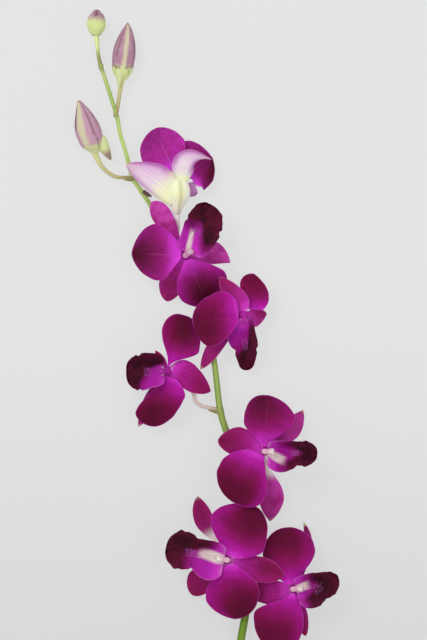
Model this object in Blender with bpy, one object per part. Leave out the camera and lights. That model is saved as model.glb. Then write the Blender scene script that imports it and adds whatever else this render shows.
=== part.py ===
"""Cut dendrobium orchid stem, lying on its back with its blooms facing up.

Metres, +Z up. The stem runs along +Y, from its cut end to its tip, and the table is z = 0.
The tables below are in millimetres and degrees, and MM turns them into metres.
A turn is a direction in plan, counter-clockwise from +X.
"""

import math
from collections import namedtuple

import bmesh
import bpy
from mathutils import Vector

MM = 0.001

# Middle of the tables' plan, which becomes the origin
MIDDLE = (-0.01, -0.79)

# Driving dimensions. Radii run from the root of a piece to its end.
BLADE_THICK = 0.9
CLAW_HALF = 1.1
SEAT_GAP = 0.35
CLAW_START = 2.5
SEPAL_START = 0.6
SEPAL_DROP = 2.0
PETAL_DROP = 0.2
RECEPTACLE_TOP = 1.0
RECEPTACLE_RIM = 2.4
RECEPTACLE_RADII = (1.5, 2.3, 2.9, 2.2)
RACHIS_RADII = (2.4, 2.15, 1.7, 1.4, 0.9)
PEDICEL_RADII = (1.15, 1.15, 1.5)
BUD_PEDICEL_RADII = (1.0, 1.15, 1.4)
BRACT_RADII = (1.6, 1.2, 0.3)
COLUMN_RADII = (1.4, 1.7, 1.6, 1.9, 1.1)
COLUMN_HOLLOW = 0.6
SPUR_RADII = (2.6, 1.9, 0.6)

# The lip: how its side lobes curve up, how thin its waist is and how blunt its tip, and the
# waves of its edge along it and across it
SIDE_LOBE_CURVE = 1.6
LIP_NECK = 3.0
LIP_BLUNT = 0.45
LIP_WAVES = (9.0, 5.0)

# How finely each kind of piece is split. ROW_EASE sets the rows closer towards a blade's tip.
ROW_EASE = 1.4
SLOPE_STEP = 0.01
BLADE_ROWS = 8
BLADE_COLUMNS = 6
LIP_ROWS = 9
LIP_COLUMNS = 8
STEM_SIDES = 8
PEDICEL_SIDES = 6
BUD_SIDES = 10
COLUMN_SIDES = 8
RACHIS_STEPS = 3

# Colour, roughness
PETAL = ((0.27, 0.008, 0.12), 0.55)
SEPAL = ((0.33, 0.015, 0.17), 0.55)
PALE_SEPAL = ((0.72, 0.5, 0.62), 0.5)
LIP = ((0.09, 0.006, 0.02), 0.5)
COLUMN = ((0.75, 0.5, 0.55), 0.45)
STEM = ((0.22, 0.38, 0.06), 0.5)
BUD = ((0.42, 0.2, 0.26), 0.5)

# One side of a blade: greatest half width, where it lies along the length from 0 to 1,
# the neck power (more is a longer, thinner claw) and the tip power (less is blunter).
Side = namedtuple("Side", "half broad neck blunt")

# A sepal or petal. turn and reach lead from the bloom's centre to the tip, bow is the
# midrib's sideways swing to the left, tip the tip's height over the table, arch the extra
# height half way, cup the edges' rise and roll the left edge's rise over the midrib.
# shift moves the claw from the bloom's centre.
Blade = namedtuple(
    "Blade",
    "turn reach left right tip arch cup roll bow shift",
    defaults=(0.0, 0.0, 0.0, 0.0, (0.0, 0.0, 0.0)),
)

# A lip: half widths of its side lobes and of its middle lobe, left and right. up is how far
# the side lobes stand up, fold the rise of the middle lobe's edges, broad is where the
# middle lobe is broadest, and lobe is where the side lobes end.
Lip = namedtuple(
    "Lip",
    "turn reach side mid tip up fold wave arch bow broad lobe shift",
    defaults=(6.0, 2.0, 0.8, 1.0, 0.0, 0.74, 0.62, (0.0, 0.0, 0.0)),
)

# column holds the turn, reach and rise of the pillar at the throat, and column_shift moves its
# foot. pedicel holds the points from the stem to the back of the bloom.
Bloom = namedtuple(
    "Bloom",
    "centre level sepals petal_left petal_right lip column pedicel column_shift",
    defaults=((0.0, 0.0, 0.0),),
)

BLOOMS = {
    1: Bloom(
        centre=(49.3, -108.5),
        level=13.0,
        sepals=(
            Blade(185, 30.0, Side(8.7, 0.3, 0.6, 0.9), Side(6.2, 0.5, 0.6, 0.8), 10.4),
            Blade(285, 30.0, Side(5.2, 0.5, 1.0, 0.6), Side(4.8, 0.5, 1.0, 0.6), 0.2, 3.0),
            Blade(
                80.3, 37.4, Side(3.6, 0.5, 1.0, 0.8), Side(3.4, 0.6, 1.0, 0.8), 0.2, 1.0, 0.0, -3.0, -6.4
            ),
        ),
        petal_left=Blade(
            255, 37.3, Side(11.6, 0.62, 1.0, 0.45), Side(17.0, 0.5, 2.6, 0.45), 10.5, 1.5
        ),
        petal_right=Blade(
            95, 35.4, Side(14.9, 0.58, 1.0, 0.4), Side(14.8, 0.62, 2.0, 0.5), 9.5, 0.6
        ),
        lip=Lip(15, 27.6, (7.0, 13.0), (6.4, 9.6), 14.0, broad=0.66),
        column=(10, 4.6, 6.5),
        pedicel=((23.0, -111.5, 6.0), (31.0, -112.5, 6.2), (39.0, -111.0, 6.4), (45.0, -109.4, 7.6)),
    ),
    2: Bloom(
        centre=(11.3, -91.4),
        level=18.0,
        sepals=(
            Blade(345, 33.8, Side(6.8, 0.6, 0.7, 0.65), Side(8.4, 0.5, 0.7, 0.5), 14.6),
            Blade(115.5, 39.2, Side(6.4, 0.65, 2.4, 0.6), Side(4.8, 0.68, 2.4, 0.8), 0.2, 2.5, 0.0, 0.0, 1.8),
            Blade(226, 29.6, Side(5.6, 0.7, 1.4, 0.5), Side(10.0, 0.65, 1.2, 0.5), 0.4, 3.0),
        ),
        petal_left=Blade(
            65, 34.7, Side(18.3, 0.56, 1.3, 0.62), Side(17.2, 0.4, 1.1, 0.4), 14.5, 2.0
        ),
        petal_right=Blade(
            279, 35.4, Side(15.4, 0.57, 1.0, 0.4), Side(16.3, 0.57, 1.8, 0.65), 13.5, 2.0
        ),
        lip=Lip(167, 35.8, (13.8, 9.6), (10.6, 11.8), 17.0, lobe=0.54),
        column=(167, 5.6, 7.0),
        pedicel=((24.6, -84.0, 6.0), (22.5, -87.5, 7.0), (19.4, -90.5, 8.6), (16.3, -91.5, 11.0)),
    ),
    3: Bloom(
        centre=(32.8, -29.0),
        level=19.0,
        sepals=(
            Blade(167, 27.4, Side(6.8, 0.5, 0.7, 0.5), Side(10.4, 0.55, 0.9, 0.6), 13.0, 1.0),
            Blade(274.5, 41.4, Side(10.0, 0.64, 2.4, 0.72), Side(5.0, 0.7, 2.0, 0.9), 0.2, 3.0),
            Blade(46, 32.4, Side(4.6, 0.5, 0.9, 1.1), Side(9.2, 0.6, 0.9, 0.75), 0.2, 3.0),
        ),
        petal_left=Blade(
            246, 34.0, Side(11.0, 0.75, 1.4, 0.5), Side(20.6, 0.45, 0.55, 0.36), 18.0, 1.5
        ),
        petal_right=Blade(
            88, 32.2, Side(12.7, 0.55, 1.8, 0.32), Side(16.6, 0.6, 1.8, 0.6), 15.0, 2.0
        ),
        lip=Lip(358, 30.8, (6.5, 10.8), (7.4, 7.6), 18.0),
        column=(0, 4.5, 7.0),
        pedicel=((19.0, -39.0, 6.0), (22.5, -37.0, 7.0), (26.5, -34.0, 9.5), (29.8, -31.2, 13.0)),
    ),
    4: Bloom(
        centre=(-23.2, 17.0),
        level=14.0,
        sepals=(
            Blade(335, 27.6, Side(10.4, 0.3, 0.5, 0.78), Side(5.4, 0.6, 0.8, 0.6), 9.0, 0.5),
            Blade(242.5, 36.8, Side(4.8, 0.5, 1.0, 0.8), Side(4.8, 0.5, 1.0, 0.8), 0.2, 1.0),
            Blade(121, 13.5, Side(2.6, 0.5, 1.0, 0.7), Side(2.6, 0.5, 1.0, 0.7), 0.6, 1.0),
        ),
        petal_left=Blade(
            76, 33.6, Side(8.8, 0.7, 2.4, 0.4), Side(15.0, 0.45, 3.2, 0.32), 10.5, 2.0
        ),
        petal_right=Blade(
            249, 33.8, Side(15.8, 0.32, 0.8, 0.4), Side(9.5, 0.84, 2.2, 0.45), 9.0, 2.0
        ),
        lip=Lip(183, 23.6, (9.6, 10.6), (10.4, 9.6), 10.4, lobe=0.7),
        column=(180, 4.0, 7.0),
        pedicel=(
            (7.8, -5.8, 6.0),
            (2.5, -4.6, 6.2),
            (-3.0, -3.4, 6.4),
            (-6.8, -0.6, 6.6),
            (-8.0, 4.0, 6.8),
            (-11.5, 9.0, 7.2),
            (-17.5, 13.6, 8.4),
        ),
    ),
    5: Bloom(
        centre=(20.6, 49.2),
        level=20.0,
        sepals=(
            Blade(122, 26.0, Side(5.0, 0.4, 0.7, 0.8), Side(7.8, 0.3, 0.5, 0.75), 16.4),
            Blade(2, 13.6, Side(2.7, 0.7, 0.7, 0.5), Side(8.4, 0.4, 0.6, 0.8), 6.0, 1.0),
            Blade(233, 39.7, Side(4.0, 0.7, 1.0, 0.6), Side(5.4, 0.6, 0.9, 0.8), 9.6, -2.2),
        ),
        petal_left=Blade(
            188, 29.4, Side(15.4, 0.7, 1.0, 0.5), Side(15.2, 0.36, 0.6, 0.45), 16.5, 1.8
        ),
        petal_right=Blade(
            88, 23.6, Side(8.3, 0.74, 1.2, 0.4), Side(9.8, 0.42, 0.5, 0.8), 9.0, 0.5,
            shift=(4.6, 0.6, -3.4),
        ),
        lip=Lip(274, 32.2, (7.0, 10.0), (7.8, 6.4), 7.0, up=0.5, fold=1.0, broad=0.6),
        column=(280, 4.0, 7.0),
        pedicel=((-0.2, 40.0, 6.0), (5.0, 41.0, 6.8), (11.5, 43.6, 9.0), (17.0, 47.0, 13.6)),
    ),
    6: Bloom(
        centre=(-12.5, 83.5),
        level=17.0,
        sepals=(
            Blade(247, 27.8, Side(6.0, 0.6, 0.8, 0.6), Side(8.5, 0.6, 0.9, 0.5), 0.4, 4.0),
            Blade(351, 26.0, Side(11.2, 0.58, 1.4, 0.7), Side(3.5, 0.4, 0.6, 0.9), 6.0, 2.0),
            Blade(122, 36.6, Side(5.3, 0.74, 1.4, 0.55), Side(6.4, 0.76, 1.4, 0.5), 11.6, -1.0),
        ),
        petal_left=Blade(
            294, 31.2, Side(17.0, 0.6, 1.1, 0.7), Side(12.5, 0.62, 1.2, 0.5), 9.0, 1.5
        ),
        petal_right=Blade(
            178, 31.8, Side(15.4, 0.48, 1.6, 0.62), Side(17.4, 0.6, 0.8, 0.6), 11.0, 2.6
        ),
        lip=Lip(67, 33.0, (7.6, 10.0), (8.4, 12.8), 17.0, broad=0.7),
        column=(40, 4.0, 7.0),
        pedicel=((-13.6, 75.4, 5.6), (-13.2, 76.4, 7.6), (-12.8, 78.2, 9.6), (-12.5, 81.0, 11.6)),
    ),
    7: Bloom(
        centre=(-17.4, 127.0),
        level=14.0,
        sepals=(
            Blade(
                139.8, 37.3, Side(4.6, 0.5, 0.35, 0.5), Side(13.4, 0.4, 0.35, 0.85), 9.8, 4.5, -2.5,
                shift=(-1.6, -14.0, 1.5),
            ),
            Blade(
                41, 22.6, Side(7.6, 0.4, 0.5, 0.8), Side(5.6, 0.36, 0.5, 1.5), 9.6, 3.5, -2.5, 0.0, 7.2,
                shift=(2.6, -3.4, 1.4),
            ),
            Blade(
                80, 18.0, Side(5.0, 0.5, 0.8, 0.7), Side(5.0, 0.5, 0.8, 0.7), 0.2, shift=(0.0, -1.0, -3.4)
            ),
        ),
        petal_left=Blade(
            114.5, 33.0, Side(14.5, 0.6, 1.0, 0.5), Side(12.8, 0.58, 1.5, 0.52), 8.0, -0.6,
            shift=(0.3, 0.6, -3.6),
        ),
        petal_right=Blade(
            39, 19.6, Side(16.6, 0.5, 0.8, 0.46), Side(12.6, 0.46, 0.8, 0.7), 3.4,
            shift=(4.4, 1.6, -6.0),
        ),
        lip=Lip(284, 8.4, (1.6, 1.8), (2.4, 2.0), 2.4, up=0.0, fold=0.0, shift=(6.6, -1.0, -6.0)),
        column=(20, 2.0, -4.6),
        column_shift=(6.8, 2.6, -7.05),
        pedicel=(
            (-20.6, 89.0, 5.6),
            (-18.4, 92.0, 6.6),
            (-17.2, 97.0, 7.6),
            (-17.0, 102.0, 8.6),
            (-17.6, 107.4, 9.6),
        ),
    ),
}

HALF_OPEN = 7

# The half-open bloom shows its chin: points from the pedicel to the throat, and radii.
OPENING_CHIN = (
    ((-17.6, 107.9, 9.7), 2.2),
    ((-17.6, 112.0, 10.4), 3.8),
    ((-17.6, 118.0, 11.0), 6.4),
    ((-17.4, 124.0, 11.2), 6.2),
    ((-17.2, 128.0, 11.0), 3.0),
)

# Points along the middle of the stem, from the cut end to the last bud.
RACHIS = (
    (14.8, -228.0, 2.2),
    (15.4, -186.0, 3.6),
    (17.6, -160.0, 5.0),
    (19.8, -139.0, 6.0),
    (22.0, -123.0, 6.0),
    (24.0, -104.4, 6.0),
    (24.8, -84.0, 6.0),
    (24.3, -66.7, 6.0),
    (21.4, -49.3, 6.0),
    (17.2, -31.9, 6.0),
    (11.5, -17.4, 6.0),
    (7.8, -5.8, 6.0),
    (5.5, 8.7, 6.0),
    (3.9, 22.0, 6.0),
    (1.4, 34.8, 6.0),
    (-4.4, 55.1, 5.8),
    (-13.6, 75.4, 5.6),
    (-24.0, 94.0, 5.2),
    (-33.3, 113.1, 5.0),
    (-40.9, 124.7, 4.8),
    (-43.6, 128.8, 4.8),
    (-46.9, 142.1, 4.8),
    (-50.4, 153.7, 4.8),
    (-52.5, 164.2, 5.0),
    (-57.7, 181.0, 5.0),
    (-61.8, 193.7, 5.2),
    (-63.3, 201.0, 5.3),
    (-64.2, 211.2, 5.3),
)

# A bud: its spine from the pedicel to the tip, its radius at each point of the spine, the
# root and tip of the spur under it, and how stout that spur is.
Bud = namedtuple("Bud", "spine radii spur girth", defaults=(1.0,))

BUDS = {
    1: Bud(
        spine=(
            (-65.3, 144.1, 6.2),
            (-66.0, 147.4, 6.6),
            (-68.0, 152.8, 7.0),
            (-70.0, 159.0, 7.0),
            (-71.8, 165.4, 6.8),
            (-74.0, 173.4, 6.4),
        ),
        radii=(3.0, 6.2, 7.4, 7.0, 4.8, 0.6),
        spur=((-61.6, 149.6, 6.6), (-56.2, 139.6, 5.4)),
        girth=1.5,
    ),
    2: Bud(
        spine=(
            (-49.4, 187.0, 5.6),
            (-49.2, 190.0, 5.8),
            (-48.8, 195.0, 6.0),
            (-48.1, 201.0, 6.0),
            (-47.2, 207.5, 6.0),
            (-46.4, 213.5, 6.0),
            (-46.1, 218.8, 6.0),
        ),
        radii=(2.8, 5.2, 6.4, 6.6, 5.4, 3.1, 0.5),
        spur=((-50.6, 190.4, 9.0), (-51.2, 181.4, 8.6)),
    ),
    3: Bud(
        spine=(
            (-64.4, 211.8, 5.3),
            (-64.4, 214.6, 5.3),
            (-64.2, 218.6, 5.3),
            (-64.1, 222.6, 5.3),
            (-64.1, 226.5, 5.3),
        ),
        radii=(3.0, 4.9, 5.4, 4.8, 1.3),
        spur=((-61.8, 214.4, 5.3), (-60.8, 210.2, 5.1)),
    ),
}

BUD_PEDICELS = (
    (
        (-43.8, 128.8, 5.0),
        (-51.9, 129.0, 5.0),
        (-56.6, 131.1, 4.8),
        (-60.6, 134.6, 5.0),
        (-64.1, 140.4, 5.6),
        (-65.1, 143.5, 6.0),
    ),
    (
        (-52.8, 164.7, 5.0),
        (-51.6, 172.0, 5.0),
        (-50.4, 180.0, 5.2),
        (-49.5, 186.5, 5.5),
    ),
)

# A bract at a node of the stem: where it sits, which way it points, and its length.
BRACTS = (
    ((-38.0, 120.0, 5.6), 300, 7.0),
    ((-61.8, 193.7, 5.2), 255, 5.0),
    ((7.0, -6.6, 6.2), 172, 6.5),
    ((-43.4, 128.2, 5.2), 190, 4.5),
    ((-52.9, 164.4, 5.2), 100, 4.0),
)


def clear_scene():
    for obj in list(bpy.data.objects):
        bpy.data.objects.remove(obj, do_unlink=True)


def material(name, look):
    colour, roughness = look
    made = bpy.data.materials.new(name)
    made.use_nodes = True
    shader = made.node_tree.nodes["Principled BSDF"]
    shader.inputs["Base Color"].default_value = (*colour, 1.0)
    shader.inputs["Roughness"].default_value = roughness
    shader.inputs["Metallic"].default_value = 0.0
    return made


def new_object(name, points, faces):
    mesh = bpy.data.meshes.new(name)
    middle = Vector((*MIDDLE, 0.0))
    mesh.from_pydata([(point - middle) * MM for point in points], [], faces)
    shape = bmesh.new()
    shape.from_mesh(mesh)
    bmesh.ops.recalc_face_normals(shape, faces=shape.faces)
    shape.to_mesh(mesh)
    shape.free()
    obj = bpy.data.objects.new(name, mesh)
    bpy.context.scene.collection.objects.link(obj)
    return obj


def finished(obj, look):
    obj.data.materials.clear()
    obj.data.materials.append(material(obj.name, look))
    obj.data.shade_smooth()
    obj.data.set_sharp_from_angle(angle=math.radians(50))
    return obj


def fused(name, pieces, look):
    """One object from several closed ones that overlap, by a Boolean union."""
    body, others = pieces[0], pieces[1:]
    group = bpy.data.collections.new(name + "_pieces")
    bpy.context.scene.collection.children.link(group)
    for piece in others:
        bpy.context.scene.collection.objects.unlink(piece)
        group.objects.link(piece)
    union = body.modifiers.new("union", "BOOLEAN")
    union.operation = "UNION"
    union.operand_type = "COLLECTION"
    union.collection = group
    union.solver = "MANIFOLD"
    bpy.context.view_layer.update()
    graph = bpy.context.evaluated_depsgraph_get()
    mesh = bpy.data.meshes.new_from_object(body.evaluated_get(graph))
    for piece in pieces:
        bpy.data.objects.remove(piece, do_unlink=True)
    bpy.data.collections.remove(group)
    mesh.name = name
    obj = bpy.data.objects.new(name, mesh)
    bpy.context.scene.collection.objects.link(obj)
    return finished(obj, look)


def heading(turn):
    angle = math.radians(turn)
    return Vector((math.cos(angle), math.sin(angle), 0.0))


def leftward(direction):
    return Vector((-direction.y, direction.x, 0.0)).normalized()


def half_width(side, u):
    """A side's width at the share u of the length, round at its broadest place."""
    if u <= side.broad:
        return side.half * math.sin(math.pi / 2 * u / side.broad) ** side.neck
    rest = max(0.0, (1 - u) / (1 - side.broad))
    return side.half * math.sin(math.pi / 2 * rest) ** side.blunt


def midline(origin, blade, u):
    """The midrib's place in plan, and the direction to its left."""
    ahead = heading(blade.turn)
    swing = blade.bow * 4 * u * (1 - u)
    slope = blade.bow * 4 * (1 - 2 * u)
    place = origin + ahead * blade.reach * u + leftward(ahead) * swing
    return place, leftward(ahead * blade.reach + leftward(ahead) * slope)


def blade_point(bloom, blade, drop, u, v):
    """A point of the blade's middle surface: u runs to the tip, v from right (-1) to left (1)."""
    origin = Vector((*bloom.centre, bloom.level - drop)) + Vector(blade.shift)
    place, left = midline(origin, blade, u)
    side = blade.left if v > 0 else blade.right
    width = half_width(side, u)
    spread = width / side.half
    claw = CLAW_HALF * (1 - u) ** 3
    height = origin.z + (blade.tip - origin.z) * u + blade.arch * math.sin(math.pi * u)
    height += (blade.cup * v * v + blade.roll * v) * spread
    point = place + left * v * math.hypot(width, claw)
    return Vector((point.x, point.y, height))


def bell(u, start, end):
    """A smooth hump from 0 at start, over 1, to 0 at end."""
    if not start < u < end:
        return 0.0
    return math.sin(math.pi * (u - start) / (end - start))


def lip_point(bloom, lip, u, v):
    """A point of the lip's middle surface: a claw, two raised side lobes and a waved middle lobe."""
    origin = Vector((*bloom.centre, bloom.level - PETAL_DROP)) + Vector(lip.shift)
    place, left = midline(origin, lip, u)
    hand = 0 if v > 0 else 1
    lobe = Side(lip.mid[hand], lip.broad, LIP_NECK, LIP_BLUNT)
    side_lobe = bell(u, 0.0, lip.lobe)
    width = math.hypot(lip.side[hand] * side_lobe, half_width(lobe, u))
    height = origin.z + (lip.tip - origin.z) * u + lip.arch * math.sin(math.pi * u)
    height += lip.up * side_lobe * abs(v) ** SIDE_LOBE_CURVE
    height += lip.fold * bell(u, 0.4, 1.1) * v * v
    waves = math.sin(LIP_WAVES[0] * u + LIP_WAVES[1] * v)
    height += lip.wave * waves * bell(u, 0.45, 1.3) * abs(v)
    point = place + left * v * (width + CLAW_HALF * (1 - u) ** 3)
    return Vector((point.x, point.y, height))


def sheet(name, surface, first, rows, columns):
    """A closed blade about a middle surface, pressed flat where it meets the table."""
    shares = [first + (1 - first) * (1 - (1 - i / rows) ** ROW_EASE) for i in range(rows)]
    sides = [2 * j / columns - 1 for j in range(columns + 1)]
    step = SLOPE_STEP
    top, bottom = [], []

    def add(u, v):
        back = surface(u - step, v)
        ahead = surface(min(1.0, u + step), v)
        right = surface(u, max(-1.0, v - step))
        left = surface(u, min(1.0, v + step))
        up = (ahead - back).cross(left - right).normalized()
        middle = surface(u, v)
        above = middle + up * BLADE_THICK / 2
        below = middle - up * BLADE_THICK / 2
        below.z = max(below.z, 0.0)
        above.z = max(above.z, below.z + BLADE_THICK * max(0.2, up.z))
        top.append(above)
        bottom.append(below)

    for u in shares:
        for v in sides:
            add(u, v)
    tip = len(top)
    add(1 - 2 * step, 0.0)
    end = surface(1.0, 0.0)
    lift = (top[-1] - bottom[-1]) / 2
    top[-1] = end + lift
    bottom[-1] = end - lift
    bottom[-1].z = max(bottom[-1].z, 0.0)
    top[-1].z = max(top[-1].z, bottom[-1].z + 2 * lift.z)

    wide = columns + 1
    tiles = []
    for i in range(rows - 1):
        for j in range(columns):
            a = i * wide + j
            tiles += [(a, a + 1, a + wide + 1), (a, a + wide + 1, a + wide)]
    last = (rows - 1) * wide
    tiles += [(last + j, last + j + 1, tip) for j in range(columns)]
    under = len(top)
    rim = list(range(wide)) + [i * wide + columns for i in range(1, rows)] + [tip]
    rim += [i * wide for i in range(rows - 1, 0, -1)]
    faces = tiles + [(c + under, b + under, a + under) for a, b, c in tiles]
    for a, b in zip(rim, rim[1:] + rim[:1]):
        faces += [(b, a, a + under), (b, a + under, b + under)]
    return new_object(name, top + bottom, faces)


def smooth_path(points, steps):
    """Points on a smooth curve through the given ones, with steps to each stretch."""
    ends = [Vector(point) for point in points]
    ends = [2 * ends[0] - ends[1]] + ends + [2 * ends[-1] - ends[-2]]
    path = []
    for before, start, end, after in zip(ends, ends[1:], ends[2:], ends[3:]):
        for k in range(steps):
            t = k / steps
            path.append(
                0.5
                * (
                    2 * start
                    + (end - before) * t
                    + (2 * before - 5 * start + 4 * end - after) * t * t
                    + (3 * start - before - 3 * end + after) * t * t * t
                )
            )
    return path + [ends[-2]]


def tube(name, path, radii, sides, flat_foot=False):
    """A closed tube with a flat cap at each end. radii has one value for each point."""
    ahead = (path[1] - path[0]).normalized()
    aside = Vector((0, 0, 1)) if abs(ahead.z) < 0.9 else Vector((0, 1, 0))
    across = ahead.cross(aside).normalized()
    points, faces = [], []
    for i, place in enumerate(path):
        ahead = (path[min(i + 1, len(path) - 1)] - path[max(i - 1, 0)]).normalized()
        across = (across - ahead * across.dot(ahead)).normalized()
        up = across.cross(ahead)
        for j in range(sides):
            angle = math.tau * (j + 0.5) / sides
            point = place + (across * math.cos(angle) + up * math.sin(angle)) * radii[i]
            if flat_foot:
                point.z = max(point.z, 0.0)
            points.append(point)
    for i in range(len(path) - 1):
        for j in range(sides):
            a = i * sides + j
            b = i * sides + (j + 1) % sides
            faces.append((a, b, b + sides, a + sides))
    faces.append(tuple(range(sides)))
    faces.append(tuple(range(len(points) - sides, len(points))))
    return new_object(name, points, faces)


def spread_values(values, count):
    """The values eased over count places."""
    out = []
    for i in range(count):
        place = i / (count - 1) * (len(values) - 1)
        low = min(int(place), len(values) - 2)
        share = place - low
        share = share * share * (3 - 2 * share)
        out.append(values[low] * (1 - share) + values[low + 1] * share)
    return out


def receptacle(bloom):
    """The ovary's swollen end: it starts just clear of the pedicel and carries the sepals."""
    start = Vector(bloom.pedicel[-1])
    end = Vector((*bloom.centre, bloom.level - RECEPTACLE_TOP))
    gap = (start - Vector(bloom.pedicel[-2])).normalized() * SEAT_GAP
    below = end - Vector((0, 0, RECEPTACLE_RIM))
    path = [start + gap, (start + gap) * 0.5 + below * 0.5, below, end]
    return tube("receptacle", path, RECEPTACLE_RADII, STEM_SIDES)


def chin():
    """The swollen back of the half-open bloom, where its lateral sepals meet."""
    path = smooth_path([place for place, radius in OPENING_CHIN], 2)
    radii = spread_values([radius for place, radius in OPENING_CHIN], len(path))
    return tube("chin", path, radii, BUD_SIDES)


def make_bloom(number, bloom):
    name = f"bloom_{number}_"
    pieces = [chin() if number == HALF_OPEN else receptacle(bloom)]
    for blade in bloom.sepals:
        pieces.append(
            sheet(
                "sepal",
                lambda u, v, blade=blade: blade_point(bloom, blade, SEPAL_DROP, u, v),
                SEPAL_START / blade.reach,
                BLADE_ROWS,
                BLADE_COLUMNS,
            )
        )
    fused(name + "sepals", pieces, PALE_SEPAL if number == HALF_OPEN else SEPAL)
    for side in ("left", "right"):
        blade = getattr(bloom, "petal_" + side)
        petal = sheet(
            name + "petal_" + side,
            lambda u, v, blade=blade: blade_point(bloom, blade, PETAL_DROP, u, v),
            CLAW_START / blade.reach,
            BLADE_ROWS,
            BLADE_COLUMNS,
        )
        finished(petal, PETAL)
    lip = sheet(
        name + "lip",
        lambda u, v: lip_point(bloom, bloom.lip, u, v),
        CLAW_START / bloom.lip.reach,
        LIP_ROWS,
        LIP_COLUMNS,
    )
    finished(lip, LIP)
    make_column(name + "column", bloom)


def make_column(name, bloom):
    """The pillar at the throat, with the anther cap as its rounded end."""
    turn, reach, rise = bloom.column
    foot = Vector((*bloom.centre, bloom.level - RECEPTACLE_TOP + SEAT_GAP))
    foot += Vector(bloom.column_shift)
    end = foot + heading(turn) * reach + Vector((0, 0, rise))
    base = foot + Vector((0, 0, rise * 0.25))
    middle = foot * 0.5 + end * 0.5 - heading(turn) * COLUMN_HOLLOW
    path = [foot, base, middle, end * 0.8 + middle * 0.2, end]
    finished(tube(name, path, COLUMN_RADII, COLUMN_SIDES), COLUMN)


def make_stem():
    path = smooth_path(RACHIS, RACHIS_STEPS)
    radii = spread_values(RACHIS_RADII, len(path))
    pieces = [tube("rachis", path, radii, STEM_SIDES, flat_foot=True)]
    for bloom in BLOOMS.values():
        path = smooth_path(bloom.pedicel, 2)
        radii = spread_values(PEDICEL_RADII, len(path))
        pieces.append(tube("pedicel", path, radii, PEDICEL_SIDES))
    for points in BUD_PEDICELS:
        path = smooth_path(points, 2)
        radii = spread_values(BUD_PEDICEL_RADII, len(path))
        pieces.append(tube("pedicel", path, radii, PEDICEL_SIDES))
    for place, turn, length in BRACTS:
        start = Vector(place)
        tip = start + heading(turn) * length
        path = [start, start * 0.5 + tip * 0.5, tip]
        pieces.append(tube("bract", path, BRACT_RADII, PEDICEL_SIDES))
    fused("stem", pieces, STEM)


def make_bud(number, bud):
    path = smooth_path(bud.spine, 2)
    radii = spread_values(bud.radii, len(path))
    body = tube("body", path, radii, BUD_SIDES, flat_foot=True)
    root, tip = [Vector(point) for point in bud.spur]
    radii = [radius * bud.girth for radius in SPUR_RADII]
    spur = tube("spur", [root, root * 0.5 + tip * 0.5, tip], radii, PEDICEL_SIDES)
    fused(f"bud_{number}", [body, spur], BUD)


def main():
    clear_scene()
    make_stem()
    for number, bud in BUDS.items():
        make_bud(number, bud)
    for number, bloom in BLOOMS.items():
        make_bloom(number, bloom)


main()
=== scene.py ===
"""The looks of the cut dendrobium orchid stem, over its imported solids.

Every node gets a finer piece of the same form: waved petals with veins, lips with ruffled edges
and fringed keels, columns with their caps, folded buds and a jointed stem.
Tables and surfaces are in millimetres and degrees, in the plan of part.py, where +Y runs along
the stem and z = 0 is the table. MM and MIDDLE turn them into the frame's metres.
"""

import math
from collections import namedtuple

import bpy
import numpy as np
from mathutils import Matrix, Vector


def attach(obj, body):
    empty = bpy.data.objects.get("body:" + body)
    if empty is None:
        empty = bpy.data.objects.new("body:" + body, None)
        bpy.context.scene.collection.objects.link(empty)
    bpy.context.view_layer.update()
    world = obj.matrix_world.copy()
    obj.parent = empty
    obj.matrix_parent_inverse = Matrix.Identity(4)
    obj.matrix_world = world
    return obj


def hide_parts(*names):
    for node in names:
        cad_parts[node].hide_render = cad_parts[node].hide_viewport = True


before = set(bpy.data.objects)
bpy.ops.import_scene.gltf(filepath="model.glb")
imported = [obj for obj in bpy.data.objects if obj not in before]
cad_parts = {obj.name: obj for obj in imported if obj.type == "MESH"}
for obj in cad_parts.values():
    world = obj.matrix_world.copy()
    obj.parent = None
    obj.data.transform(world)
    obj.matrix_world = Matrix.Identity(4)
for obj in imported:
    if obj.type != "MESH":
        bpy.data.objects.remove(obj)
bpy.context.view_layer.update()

MM = 0.001
MIDDLE = (-0.01, -0.79)

# Dimensions of the forms, the same as in part.py or close. Radii run from the root of a piece to
# its end. ENDS are the heights of the domes at a tube's two ends, as shares of its radius there.
CLAW_HALF = 1.1
LIP_CLAW_HALF = 2.3
LOBE_FULLNESS = 0.45
SEAT_GAP = 0.35
CLAW_START = 2.5
LIP_START = 1.7
SEPAL_START = 0.6
SEPAL_DROP = 2.0
PETAL_DROP = 0.2
RECEPTACLE_TOP = 1.0
RECEPTACLE_RIM = 2.4
RECEPTACLE_RADII = (1.5, 2.3, 2.9, 2.2)
RACHIS_RADII = (2.4, 2.15, 1.7, 1.2, 1.1)
PEDICEL_RADII = (1.15, 1.15, 1.5)
BUD_PEDICEL_RADII = (1.05, 1.2, 1.75)
BRACT_RADII = (1.6, 1.2, 0.3)
COLUMN_RADII = (1.4, 1.7, 1.6, 1.9, 1.1)
COLUMN_HOLLOW = 0.6
CAP_RADII = (1.4, 1.95, 1.95, 1.5)
COLUMN_ENDS = (0.2, 0.4)
BUD_ENDS = (0.5, 0.6)
CHIN_ENDS = (0.4, 0.6)
SPUR_ENDS = (0.9, 0.6)
SPUR_RADII = (2.6, 1.9, 0.6)
SIDE_LOBE_CURVE = 1.6
LIP_NECK = 3.0
LIP_BLUNT = 0.38
LIP_WAVES = (9.0, 5.0)

# Thickness of a blade at its midrib and at its rim, and how far in the rim reaches
BLADE_BODY = 0.75
BLADE_EDGE = 0.28
RIM_WIDTH = 2.2

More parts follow.
